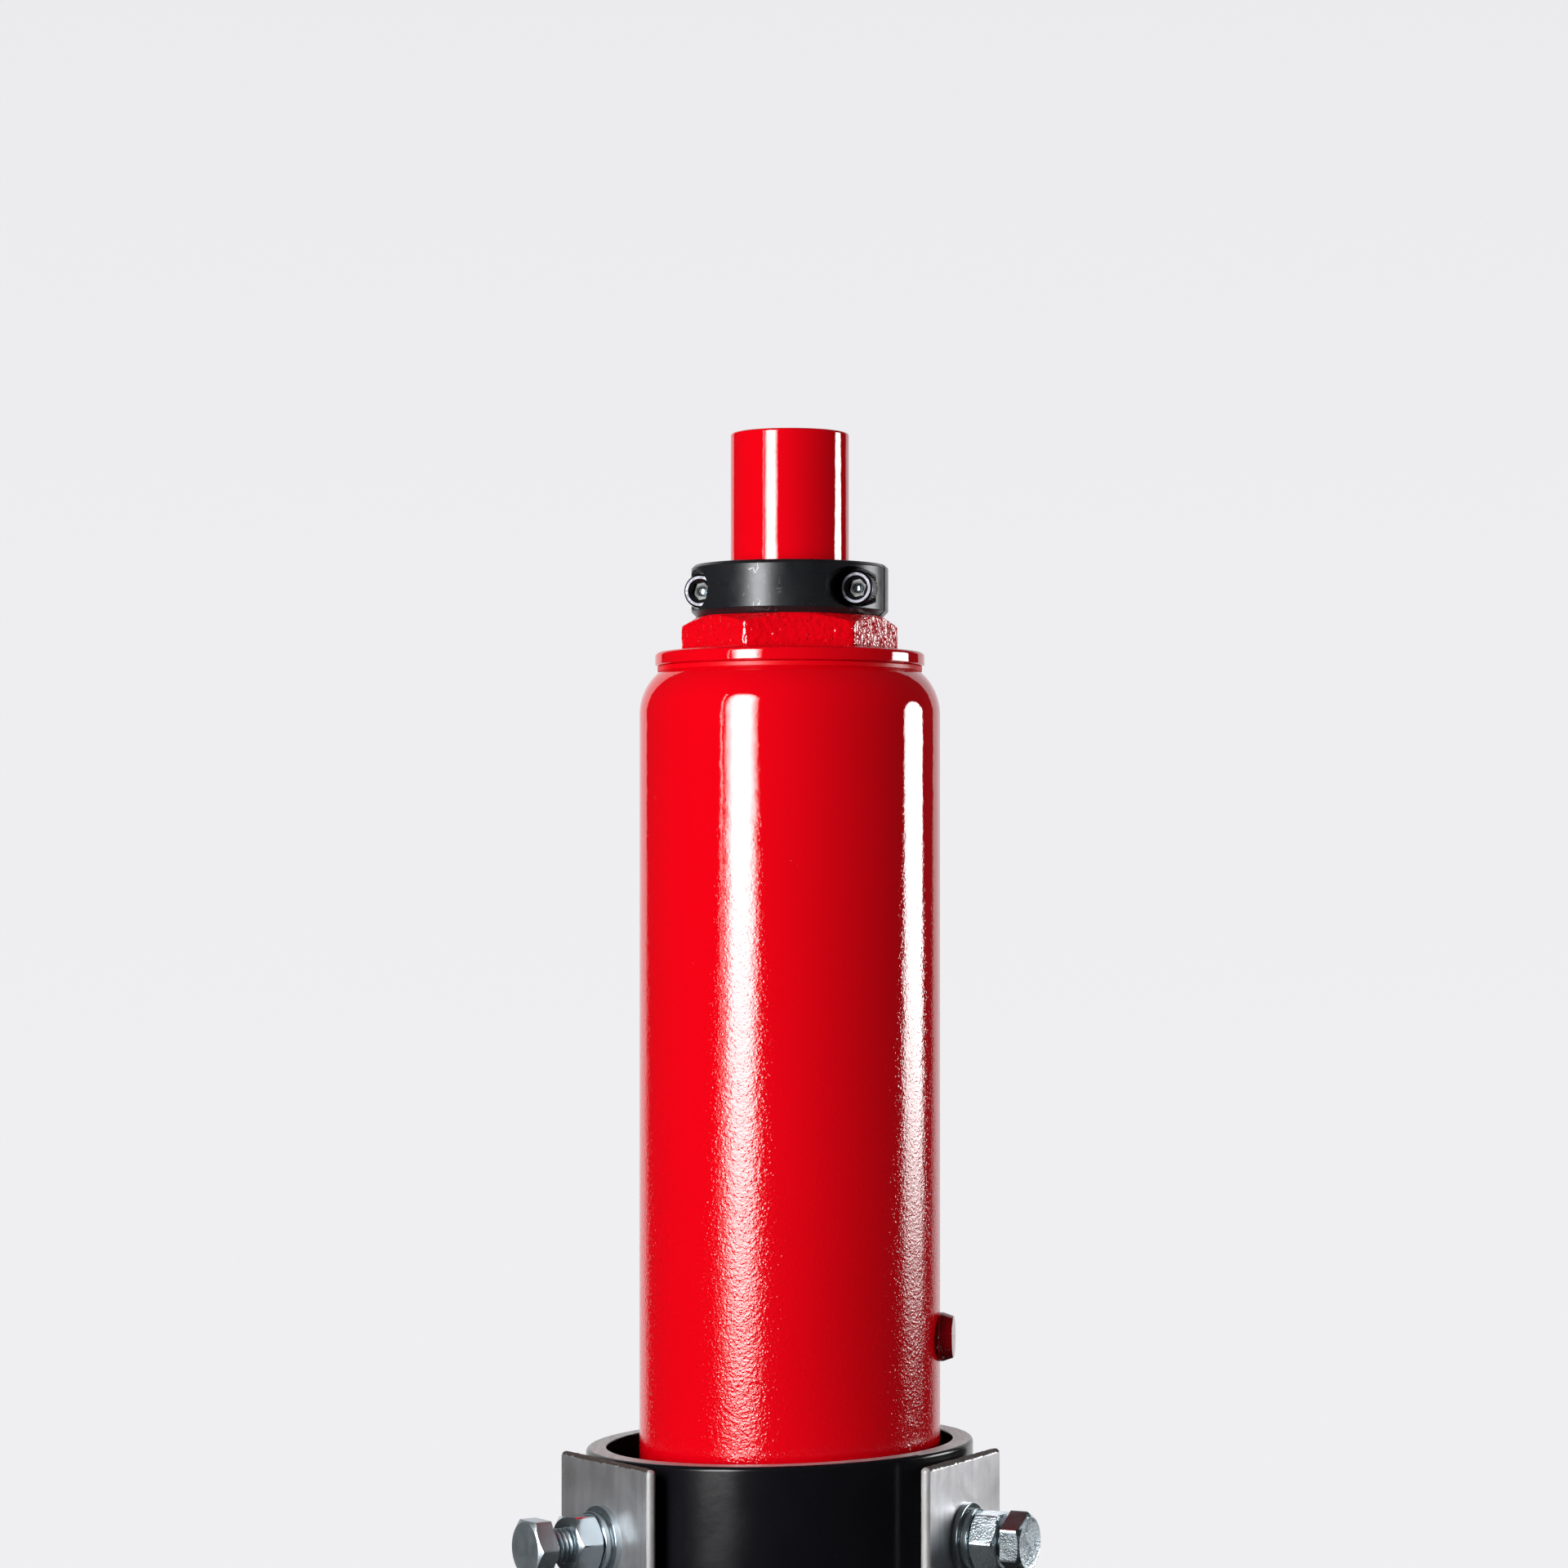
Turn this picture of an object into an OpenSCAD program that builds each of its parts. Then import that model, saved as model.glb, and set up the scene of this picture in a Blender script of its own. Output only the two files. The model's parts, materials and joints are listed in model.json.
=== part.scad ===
// Telescopic hydraulic cylinder: a long ram in a painted reservoir body, which stands in a steel
// outer tube and is clamped there by three radial bolts.
// Origin at the bottom centre of the base plate, on the outer tube's axis. +Z is up, -Y is the front.

/* [Base plate] */
// Side of the square base plate
plate_side = 160; // [150:1:200]
// Thickness of the base plate
plate_t = 12; // [10:1:16]
// Spacing of the four anchor holes
anchor_pitch = 120; // [116:1:124]
// Diameter of the anchor holes
anchor_d = 14; // [10:1:16]

/* [Outer tube] */
// Outer diameter of the outer tube
tube_od = 114.3; // [114:0.1:115]
// Wall of the outer tube
tube_wall = 6; // [5.5:0.1:6.2]
// Length of the outer tube, from the base plate to the middle of its rim
tube_length = 200; // [195:1:220]
// Slant of the rim's saw cut, rising towards +X
rim_slant = 1.6; // [0:0.1:2]
// Width of the hose slot at the rear
slot_w = 22; // [20:1:24]

/* [Clamp bolts] */
// Turn of the three clamp bolts from the symmetrical places
clamp_turn = 3; // [0:1:5]
// Depth of the clamp bolts below the rim
clamp_drop = 24.8; // [24:0.1:30]
// Width of the bracket plates, across the bolt
bracket_w = 50; // [40:1:52]
// Height of the bracket plates
bracket_h = 47; // [40:1:48]
// Thickness of the bracket plates
bracket_t = 3; // [2.5:0.1:4]
// Bolt shank left bare behind the head: left, right and rear
stand_off = [6.8, 1.2, 4]; // [1:0.1:10]

/* [Reservoir body] */
// Outer diameter of the reservoir shell
shell_od = 88.9; // [88:0.1:89]
// Wall of the reservoir shell
shell_wall = 3.6; // [3.4:0.1:3.8]
// Height of the shell's top edge above the outer tube's rim
shell_rise = 227.1; // [220:0.1:260]
// Radius of the rounded shoulder
shoulder_r = 16.5; // [15:0.5:17]
// How far the body stands off the outer tube's axis, towards +X
body_shift = 3.05; // [0:0.05:3.2]

/* [Gland nut] */
// Size of the hexagon across its corners
gland_hex = 64.8; // [62:0.1:66]
// Height of the hexagon
gland_hex_h = 10.35; // [8:0.1:12]
// Diameter of the round flange
gland_flange_d = 79.7; // [78:0.1:80]
// Thickness of the round flange
gland_flange_t = 4; // [3:0.05:6]

/* [Ram and collar] */
// Diameter of the ram's free end
ram_d = 35; // [34.9:0.1:35.1]
// Length of the ram above the collar
ram_free = 39.1; // [35:0.1:60]
// Outer diameter of the stop collar
collar_d = 58.2; // [57:0.1:60]
// Width of the stop collar
collar_w = 15.4; // [15:0.1:16]
// Turn of the collar's split from the front
collar_turn = -17.5; // [-30:0.5:30]

/* [Hidden] */

$fn = 96;
LEFT = 0;
RIGHT = 1;
REAR = 2;
BLACK = [0.05, 0.05, 0.06];
RED = [0.86, 0.02, 0.06];
ZINC = [0.78, 0.8, 0.84];
MILL = [0.55, 0.56, 0.58];
BRONZE = [0.72, 0.52, 0.24];
SEAL = [0.1, 0.11, 0.13];
STEEL = [0.66, 0.67, 0.7];

// Running clearance of shafts and threads, on the radius
fit = 0.05;
// Gap kept between a bolt's pad and the shell
pad_gap = 0.3;

tube_r = tube_od / 2;
tube_bore_r = tube_r - tube_wall;
rim_z = plate_t + tube_length;
corner_r = 10;
foot_weld = 6;

// Height of the oil port, and of the slot's two ends
port_z = plate_t + 16;
slot_top_z = port_z + 100;
port_r = 5.9;
port_boss_r = 9.5;
port_depth = 16;
passage_r = 2.5;

// Clamp bolts: angles are counted from the front, towards +X
clamp_angle = [clamp_turn - 60, clamp_turn + 60, clamp_turn + 180];
clamp_z = rim_z - clamp_drop;
bolt_r = 5;
bolt_hole_r = bolt_r + 0.06;
head_corners = 18.48;
head_h = 6.4;
nut_h = 8.4;
washer_r = 10.5;
washer_t = 2;
spring_washer_r = 9;
spring_washer_t = 2.3;
pad_r = 4;
pad_t = 2.6;
// Turn of each bolt head, and of each nut, from a corner lying level
head_turn = [0, 30, 20];
nut_turn = [4, 0, 40];
bracket_face = tube_r + 0.35;
bracket_out = bracket_face + bracket_t;
nut_seat = bracket_out + washer_t + spring_washer_t;
spring_washer_split = [125, 60, 100];

// Reservoir body
shell_r = shell_od / 2;
shell_bore_r = shell_r - shell_wall;
shell_top = rim_z + shell_rise;
shoulder_in = shell_r - shoulder_r;
shoulder_bore_r = shoulder_r - shell_wall;
// The shell is cut flat where the shoulder's inner arc still leaves an opening for the gland
shoulder_rise = shoulder_bore_r - 0.5;
shoulder_z = shell_top - shoulder_rise;
gasket_t = 1.8;
flange_z = shell_top + gasket_t;
hex_z = flange_z + gland_flange_t;
gland_top = hex_z + gland_hex_h;
hex_turn = 5.1;
hex_chamfer_r = 27.7;

// Stage base and its check valve
stage_base_h = 44;
recess_h = 6;
base_top = plate_t + stage_base_h;
tube_seat_z = base_top - recess_h;
valve_seat_z = port_z + 5;
valve_r = 6;
ball_r = 4.5;
seat_r = 2.6;
retainer_h = 4;
spring_wire_r = 0.5;
spring_r = 3.4;
ball_z = valve_seat_z + sqrt(ball_r * ball_r - seat_r * seat_r) + 0.03;

// Pressure tube and gland bore
cylinder_r = 23;
cylinder_wall = 4;
cylinder_out = cylinder_r + cylinder_wall;
boss_r = 31;
boss_bottom = shell_top - 34;
cylinder_top = boss_bottom + 13;
oring_r = 1.05;
groove_depth = 2.2;
groove_h = 3;

// Ram
ram_r = ram_d / 2;
rod_r = ram_r - 0.1;
collar_top = gland_top + collar_w;
ram_edge = 0.7;
relief_r = ram_r - 1;
relief_w = 2;
piston_z = 70;
piston_h = 28;
spigot_r = 8;
spigot_z = 57;
piston_r = cylinder_r - 0.08;
seal_z = piston_z + 6;
seal_h = 7;
wear_z = piston_z + 18;
wear_h = 6;
ring_in_r = cylinder_r - 4;
wear_in_r = cylinder_r - 2;

// Collar
collar_r = collar_d / 2;
collar_gap = 1.2;
screw_at = 24;
screw_seat = 6.3;
screw_head_r = 5;
screw_head_h = 6;
screw_r = 3;
screw_end = -12;

// Filler plug
plug_angle = 82.5;
plug_z = rim_z + 31.4;
plug_hole_r = 6;
plug_seat_r = 7.2;
plug_seat_t = 1.5;
plug_face = shell_r + 0.7;

// Where the shell's surface lies on each clamp bolt's line, measured from the outer tube's axis
function shell_reach(angle) =
    body_shift * sin(angle) + sqrt(shell_r * shell_r - pow(body_shift * cos(angle), 2));
function pad_face(i) = shell_reach(clamp_angle[i]) + pad_gap;
function head_seat(i) = nut_seat + nut_h + stand_off[i];

// Turns +X to the side that lies angle degrees from the front
module facing(angle) {
    rotate([0, 0, angle - 90]) children();
}

// Moves to the axis shared by the ram and the reservoir body
module on_body() {
    translate([body_shift, 0, 0]) children();
}

// Stands children, drawn along +Z from the tube's axis, on one clamp bolt's line
module on_clamp(i) {
    facing(clamp_angle[i]) translate([0, 0, clamp_z]) rotate([0, 90, 0]) children();
}

module disc(r, z0, z1) {
    translate([0, 0, z0]) cylinder(r = r, h = z1 - z0);
}

module ring(r_out, r_in, z0, z1) {
    difference() {
        disc(r_out, z0, z1);
        disc(r_in, z0 - 1, z1 + 1);
    }
}

// A hexagon whose chosen ends are chamfered at 30 degrees down to a circle
module chamfered_hex(corner_r, circle_r, z0, z1, both) {
    drop = (corner_r - circle_r) * tan(30);
    low_r = both ? circle_r : corner_r;
    low_z = both ? z0 + drop : z0;
    intersection() {
        translate([0, 0, z0]) cylinder(r = corner_r, h = z1 - z0, $fn = 6);
        rotate_extrude()
            polygon([
                [0, z0], [low_r, z0], [corner_r, low_z],
                [corner_r, z1 - drop], [circle_r, z1], [0, z1]
            ]);
    }
}

module o_ring(centre_r, z) {
    color(SEAL) on_body() rotate_extrude() translate([centre_r, z]) circle(r = oring_r, $fn = 32);
}

// ---- Outer tube and base ----

module base_plate() {
    color(BLACK) difference() {
        union() {
            translate([-plate_side / 2, corner_r - plate_side / 2, 0])
                cube([plate_side, plate_side - 2 * corner_r, plate_t]);
            translate([corner_r - plate_side / 2, -plate_side / 2, 0])
                cube([plate_side - 2 * corner_r, plate_side, plate_t]);
            for (x = [-1, 1], y = [-1, 1])
                translate([x * (plate_side / 2 - corner_r), y * (plate_side / 2 - corner_r), 0])
                    cylinder(r = corner_r, h = plate_t);
        }
        for (x = [-1, 1], y = [-1, 1])
            translate([x * anchor_pitch / 2, y * anchor_pitch / 2, -1])
                cylinder(d = anchor_d, h = plate_t + 2);
    }
}

module outer_tube() {
    spare = tube_od;
    color(BLACK) difference() {
        ring(tube_r, tube_bore_r, plate_t, rim_z + 5);
        translate([0, 0, rim_z]) rotate([0, -rim_slant, 0])
            translate([-spare, -spare, 0]) cube([2 * spare, 2 * spare, 20]);
        for (z = [port_z, slot_top_z])
            translate([0, 0, z]) rotate([-90, 0, 0]) cylinder(d = slot_w, h = spare);
        translate([-slot_w / 2, 0, port_z]) cube([slot_w, spare, slot_top_z - port_z]);
        for (i = [LEFT, RIGHT, REAR])
            on_clamp(i) cylinder(r = bolt_hole_r, h = spare);
    }
}

module tube_foot_weld() {
    color(BLACK) rotate_extrude()
        polygon([[tube_r, plate_t], [tube_r + foot_weld, plate_t], [tube_r, plate_t + foot_weld]]);
}

// ---- Clamp stations ----

module bracket(i) {
    color(MILL) difference() {
        facing(clamp_angle[i]) translate([bracket_face, -bracket_w / 2, clamp_z - bracket_h / 2])
            cube([bracket_t, bracket_w, bracket_h]);
        on_clamp(i) cylinder(r = bolt_hole_r, h = tube_od);
    }
}

// A bead on each side, in the wedge between the flat plate and the round tube
module bracket_weld(i) {
    inner = 11;
    outer = 17;
    top_drop = 7;
    bottom_drop = 3;
    length = bracket_h - top_drop - bottom_drop;
    color(BLACK) difference() {
        facing(clamp_angle[i]) for (side = [-1, 1])
            translate([tube_r - 5, side > 0 ? inner : -outer, clamp_z - bracket_h / 2 + bottom_drop])
                cube([bracket_face - tube_r + 5, outer - inner, length]);
        disc(tube_r, 0, rim_z + 5);
    }
}

module flat_washer(i) {
    color(ZINC) on_clamp(i) ring(washer_r, bolt_r + 0.25, bracket_out, bracket_out + washer_t);
}

// The split is cut on a slope, as a helical spring washer's is
module spring_washer(i) {
    slit = 1.4;
    slope = 20;
    color(ZINC) on_clamp(i) difference() {
        ring(spring_washer_r, bolt_r + 0.1, bracket_out + washer_t, nut_seat);
        translate([0, 0, nut_seat - spring_washer_t / 2])
            rotate([0, 0, 90 + spring_washer_split[i]]) rotate([slope, 0, 0])
                translate([bolt_r - 1, -slit / 2, -2 * spring_washer_t])
                    cube([spring_washer_r, slit, 4 * spring_washer_t]);
    }
}

module lock_nut(i) {
    color(ZINC) on_clamp(i) difference() {
        rotate([0, 0, 90 + nut_turn[i]])
            chamfered_hex(head_corners / 2, 7.7, nut_seat, nut_seat + nut_h, true);
        disc(bolt_hole_r, 0, tube_od);
    }
}

module clamp_bolt(i) {
    color(ZINC) on_clamp(i) union() {
        disc(bolt_r, pad_face(i) + pad_t, head_seat(i) + head_h / 2);
        rotate([0, 0, 90 + head_turn[i]])
            chamfered_hex(head_corners / 2, 7.7, head_seat(i), head_seat(i) + head_h, false);
    }
}

module thrust_pad(i) {
    color(BRONZE) on_clamp(i) disc(pad_r, pad_face(i), pad_face(i) + pad_t);
}

// ---- Reservoir body ----

module shoulder_section(r, arc_r) {
    square([r, shoulder_z]);
    square([shoulder_in, shell_top]);
    translate([shoulder_in, shoulder_z]) circle(r = arc_r);
}

module reservoir_shell() {
    color(RED) on_body() difference() {
        rotate_extrude() intersection() {
            difference() {
                shoulder_section(shell_r, shoulder_r);
                shoulder_section(shell_bore_r, shoulder_bore_r);
                square([shoulder_in + 1, 2 * shell_top]);
            }
            translate([0, plate_t]) square([shell_r, shell_top - plate_t]);
        }
        translate([0, 0, port_z]) rotate([-90, 0, 0]) cylinder(r = port_boss_r + 0.02, h = shell_od);
        facing(plug_angle) translate([0, 0, plug_z]) rotate([0, 90, 0]) {
            cylinder(r = plug_hole_r, h = shell_od);
            disc(plug_seat_r + 0.02, plug_face - plug_seat_t, shell_od);
        }
    }
}

module stage_base() {
    face_y = sqrt(shell_r * shell_r - port_boss_r * port_boss_r);
    color(STEEL) on_body() difference() {
        union() {
            disc(shell_bore_r - 0.02, plate_t, base_top);
            translate([0, shell_bore_r - 8, port_z]) rotate([-90, 0, 0])
                cylinder(r = port_boss_r, h = face_y - shell_bore_r + 8);
        }
        disc(cylinder_out + 0.02, tube_seat_z, base_top + 1);
        disc(cylinder_out + groove_depth, tube_seat_z + 1.5, tube_seat_z + 1.5 + groove_h);
        disc(valve_r, valve_seat_z, base_top);
        disc(seat_r, port_z, base_top);
        translate([0, 0, port_z]) rotate([-90, 0, 0]) cylinder(r = passage_r, h = shell_od);
        translate([0, face_y - port_depth, port_z]) rotate([-90, 0, 0]) cylinder(r = port_r, h = shell_od);
    }
}

module pressure_tube() {
    color(STEEL) on_body() ring(cylinder_out, cylinder_r, tube_seat_z, cylinder_top);
}

module gland_nut() {
    edge = 1.2;
    bore_top = hex_z - 0.5;
    wiper_z = gland_top - 5;
    color(RED) on_body() difference() {
        union() {
            rotate([0, 0, hex_turn]) chamfered_hex(gland_hex / 2, hex_chamfer_r, hex_z - 1, gland_top, false);
            rotate_extrude() translate([0, flange_z]) {
                square([gland_flange_d / 2 - edge, gland_flange_t]);
                square([gland_flange_d / 2, gland_flange_t - edge]);
                translate([gland_flange_d / 2 - edge, gland_flange_t - edge]) circle(r = edge);
            }
            disc(boss_r, boss_bottom, flange_z + 1);
        }
        disc(cylinder_out + 0.02, boss_bottom - 1, cylinder_top);
        disc(cylinder_out + groove_depth, boss_bottom + 4, boss_bottom + 4 + groove_h);
        disc(cylinder_r, boss_bottom, bore_top);
        disc(ram_r + 0.5, boss_bottom, gland_top + 1);
        disc(ram_r + 4, wiper_z, gland_top + 1);
    }
}

module cap_gasket() {
    color(RED) on_body() ring(gland_flange_d / 2 - 0.75, boss_r + 0.1, shell_top, flange_z);
}

module guide_bush() {
    color(BRONZE) on_body() ring(cylinder_r - 0.02, rod_r + fit, cylinder_top, flange_z);
}

module rod_seal() {
    color(SEAL) on_body() ring(cylinder_r - 0.05, rod_r + fit, flange_z + 0.3, hex_z - 0.8);
}

module wiper_ring() {
    color(SEAL) on_body() rotate_extrude()
        polygon([
            [rod_r + fit, gland_top - 5],
            [ram_r + 3.95, gland_top - 5],
            [ram_r + 3.95, gland_top - 1],
            [rod_r + 1.2, gland_top - 1],
            [rod_r + fit, gland_top - 0.3]
        ]);
}

module upper_oring() {
    o_ring(cylinder_out + 0.05 + oring_r, boss_bottom + 4 + groove_h / 2);
}

module lower_oring() {
    o_ring(cylinder_out + 0.05 + oring_r, tube_seat_z + 1.5 + groove_h / 2);
}

module on_plug() {
    on_body() facing(plug_angle) translate([0, 0, plug_z]) rotate([0, 90, 0]) children();
}

module filler_plug() {
    color(RED) on_plug() rotate_extrude()
        polygon([
            [0, shell_bore_r - 3],
            [5.4, shell_bore_r - 3],
            [plug_hole_r - 0.05, shell_bore_r - 1.5],
            [plug_hole_r - 0.05, plug_face],
            [7.2, plug_face],
            [7.2, shell_r + 1.2],
            [6.15, shell_r + 4.2],
            [0, shell_r + 4.2]
        ]);
}

module plug_seat() {
    color(RED) on_plug() ring(plug_seat_r, plug_hole_r, plug_face - plug_seat_t, plug_face);
}

module check_ball() {
    color(STEEL) on_body() translate([0, 0, ball_z]) sphere(r = ball_r);
}

// Plain rings stand for the spring's coils
module check_spring() {
    first = ball_z + sqrt(ball_r * ball_r - spring_r * spring_r) + 3 * spring_wire_r / 2;
    last = tube_seat_z - retainer_h - spring_wire_r;
    coils = 4;
    color(ZINC) on_body() rotate_extrude() for (k = [0 : coils - 1])
        translate([spring_r, first + (last - first) * k / (coils - 1)]) circle(r = spring_wire_r, $fn = 24);
}

module check_retainer() {
    color(STEEL) on_body() ring(valve_r - 0.02, 2, tube_seat_z - retainer_h, tube_seat_z);
}

// ---- Ram ----

// A grinding relief inside the collar parts the free end from the rod
module ram_rod() {
    color(RED) on_body() union() {
        disc(spigot_r, spigot_z, piston_z + piston_h + 1);
        disc(rod_r, piston_z + piston_h, collar_top - relief_w);
        disc(relief_r, collar_top - relief_w - 1, collar_top + 1);
        rotate_extrude() translate([0, collar_top]) {
            square([ram_r - ram_edge, ram_free]);
            square([ram_r, ram_free - ram_edge]);
            translate([ram_r - ram_edge, ram_free - ram_edge]) circle(r = ram_edge);
        }
    }
}

module piston() {
    color(STEEL) on_body() difference() {
        disc(piston_r - 0.4, piston_z, piston_z + piston_h);
        disc(spigot_r + 0.02, piston_z - 1, piston_z + piston_h + 1);
        ring(cylinder_r, ring_in_r, seal_z, seal_z + seal_h);
        ring(cylinder_r, wear_in_r, wear_z, wear_z + wear_h);
    }
}

module piston_seal() {
    color(SEAL) on_body() ring(piston_r, ring_in_r, seal_z, seal_z + seal_h);
}

module wear_ring() {
    color(BRONZE) on_body() ring(piston_r, wear_in_r, wear_z, wear_z + wear_h);
}

module piston_nut() {
    color(STEEL) on_body() difference() {
        chamfered_hex(13.85, 11.6, spigot_z + 1, piston_z, true);
        disc(spigot_r + 0.02, 0, piston_z + 1);
    }
}

// ---- Stop collar ----

// The collar's own frame: +X out of the front half, +Z up
module on_collar() {
    on_body() facing(collar_turn) translate([0, 0, gland_top]) children();
}

module collar_blank() {
    top_edge = 1;
    low_edge = 1.7;
    bore = rod_r + 0.02;
    rotate_extrude()
        polygon([
            [bore, 0],
            [collar_r - low_edge, 0],
            [collar_r, low_edge],
            [collar_r, collar_w - top_edge],
            [collar_r - top_edge, collar_w],
            [bore, collar_w]
        ]);
}

module on_screw(side) {
    on_collar() translate([0, side * screw_at, collar_w / 2]) rotate([0, 90, 0]) children();
}

module collar_front() {
    color(BLACK) difference() {
        on_collar() intersection() {
            collar_blank();
            translate([collar_gap / 2, -collar_r, 0]) cube([collar_r, collar_d, collar_w]);
        }
        for (side = [-1, 1]) {
            on_screw(side) cylinder(r = screw_r + 0.3, h = collar_r);
            on_screw(side) translate([0, 0, screw_seat]) cylinder(r = screw_head_r + 1, h = collar_r);
        }
    }
}

module collar_rear() {
    color(BLACK) difference() {
        on_collar() intersection() {
            collar_blank();
            translate([-collar_gap / 2 - collar_r, -collar_r, 0]) cube([collar_r, collar_d, collar_w]);
        }
        for (side = [-1, 1])
            on_screw(side) translate([0, 0, screw_end - 1]) cylinder(r = screw_r + 0.02, h = collar_r);
    }
}

module collar_screw(side) {
    socket_depth = 3.2;
    color(BLACK) on_screw(side) difference() {
        union() {
            disc(screw_r, screw_end, screw_seat + 1);
            disc(screw_head_r, screw_seat, screw_seat + screw_head_h);
        }
        translate([0, 0, screw_seat + screw_head_h - socket_depth])
            cylinder(r = 2.89, h = socket_depth + 1, $fn = 6);
    }
}

base_plate();
outer_tube();
tube_foot_weld();
bracket(LEFT);  // bracket_left
bracket(RIGHT);  // bracket_right
bracket(REAR);  // bracket_rear
bracket_weld(LEFT);  // bracket_weld_left
bracket_weld(RIGHT);  // bracket_weld_right
bracket_weld(REAR);  // bracket_weld_rear
flat_washer(LEFT);  // flat_washer_left
flat_washer(RIGHT);  // flat_washer_right
flat_washer(REAR);  // flat_washer_rear
spring_washer(LEFT);  // spring_washer_left
spring_washer(RIGHT);  // spring_washer_right
spring_washer(REAR);  // spring_washer_rear
lock_nut(LEFT);  // lock_nut_left
lock_nut(RIGHT);  // lock_nut_right
lock_nut(REAR);  // lock_nut_rear
clamp_bolt(LEFT);  // clamp_bolt_left
clamp_bolt(RIGHT);  // clamp_bolt_right
clamp_bolt(REAR);  // clamp_bolt_rear
thrust_pad(LEFT);  // thrust_pad_left
thrust_pad(RIGHT);  // thrust_pad_right
thrust_pad(REAR);  // thrust_pad_rear
reservoir_shell();
stage_base();
pressure_tube();
gland_nut();
cap_gasket();
guide_bush();
rod_seal();
wiper_ring();
upper_oring();
lower_oring();
filler_plug();
plug_seat();
check_ball();
check_spring();
check_retainer();
ram_rod();
piston();
piston_seal();
wear_ring();
piston_nut();
collar_front();
collar_rear();
collar_screw(-1);  // collar_screw_left
collar_screw(1);  // collar_screw_right
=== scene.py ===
"""Looks of the telescopic hydraulic cylinder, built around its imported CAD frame.

Every length is in metres in the row frame: +Z up, the front towards -Y.
Lengths written with MM are millimetres.
"""

import json
import math

import bmesh
import bpy
from mathutils import Matrix, Vector, noise


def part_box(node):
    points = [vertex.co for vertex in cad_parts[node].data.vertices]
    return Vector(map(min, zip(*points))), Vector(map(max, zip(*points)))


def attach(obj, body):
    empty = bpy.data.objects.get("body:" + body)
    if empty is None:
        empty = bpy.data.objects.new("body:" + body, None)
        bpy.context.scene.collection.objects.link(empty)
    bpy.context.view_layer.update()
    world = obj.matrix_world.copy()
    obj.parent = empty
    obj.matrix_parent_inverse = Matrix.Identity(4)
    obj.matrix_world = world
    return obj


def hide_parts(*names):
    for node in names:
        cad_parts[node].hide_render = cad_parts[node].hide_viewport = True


MM = 0.001
UP = Vector((0, 0, 1))

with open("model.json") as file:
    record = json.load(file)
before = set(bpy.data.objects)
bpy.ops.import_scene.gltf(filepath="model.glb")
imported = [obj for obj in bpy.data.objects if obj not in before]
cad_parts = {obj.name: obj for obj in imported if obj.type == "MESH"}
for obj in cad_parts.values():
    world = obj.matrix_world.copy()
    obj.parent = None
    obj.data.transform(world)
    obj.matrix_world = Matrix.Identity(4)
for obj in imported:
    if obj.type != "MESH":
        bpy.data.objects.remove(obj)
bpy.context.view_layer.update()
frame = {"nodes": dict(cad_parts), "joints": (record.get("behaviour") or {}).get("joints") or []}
joints = {j["name"]: j for j in frame["joints"]}


# ---------------------------------------------------------------- places read from the frame

def points_of(node):
    return [v.co for v in frame["nodes"][node].data.vertices]


def along(node, origin, direction):
    """Lowest and highest distance of a CAD node from origin, measured along direction."""
    reach = [(p - origin).dot(direction) for p in points_of(node)]
    return min(reach), max(reach)


def radii(node, axis_x):
    """Smallest and largest radius of a CAD node about the vertical line at x = axis_x."""
    reach = [math.hypot(p.x - axis_x, p.y) for p in points_of(node)]
    return min(reach), max(reach)


def heights(node):
    lo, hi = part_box(node)
    return lo.z, hi.z


BODY_X = sum(corner.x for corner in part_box("pressure_tube")) / 2
BODY = Matrix.Translation((BODY_X, 0, 0))
TUBE = Matrix.Identity(4)

RIM_SLANT = math.radians(1.6)
TUBE_IN, TUBE_OUT = radii("outer_tube", 0)
FOOT_Z, TUBE_TOP = heights("outer_tube")
RIM_Z = TUBE_TOP - TUBE_OUT * math.tan(RIM_SLANT)

SHELL_OUT = radii("reservoir_shell", BODY_X)[1]
SHELL_WALL = 3.6 * MM
SHOULDER_R = 16.5 * MM
SHELL_FOOT, SHELL_TOP = heights("reservoir_shell")

BOSS_Z, GLAND_TOP = heights("gland_nut")
FLANGE_R = radii("gland_nut", BODY_X)[1]
GASKET_R = radii("cap_gasket", BODY_X)[1]
FLANGE_Z = heights("cap_gasket")[1]
FLANGE_T = 4 * MM
HEX_Z = FLANGE_Z + FLANGE_T
HEX_TURN = math.radians(5.1)

COLLAR_Z, COLLAR_TOP = heights("collar_front")
COLLAR_R = radii("collar_front", BODY_X)[1]
COLLAR_TURN = math.radians(-17.5)
COLLAR_GAP = 1.2 * MM
SCREW_AT = 24 * MM
SCREW_SEAT = 6.3 * MM
SCREW_R = 3 * MM
RAM_R = radii("ram_rod", BODY_X)[1]
ROD_R = RAM_R - 0.1 * MM
RAM_FOOT, RAM_TOP = heights("ram_rod")
PISTON_TOP = heights("piston")[1]

PORT_Z = FOOT_Z + 16 * MM
SLOT_TOP = PORT_Z + 100 * MM
SLOT_W = 22 * MM
PLUG_ANGLE = math.radians(82.5)
PLUG_Z = RIM_Z + 31.4 * MM
PLUG_HOLE_R = 6 * MM
PLUG_HEAD_R = 7.2 * MM
PORT_BOSS_R = 9.5 * MM

BOLT_R = 5 * MM
BOLT_HOLE_R = BOLT_R + 0.06 * MM
PITCH = 1.5 * MM
THREAD_DEPTH = 0.85 * MM
BOLT_APOTHEM = 8 * MM
SIDES = ("left", "right", "rear")
HEAD_TURN = {"left": 0, "right": 30, "rear": 20}
NUT_TURN = {"left": 4, "right": 0, "rear": 40}
SPLIT_AT = {"left": 125, "right": 60, "rear": 100}


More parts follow.
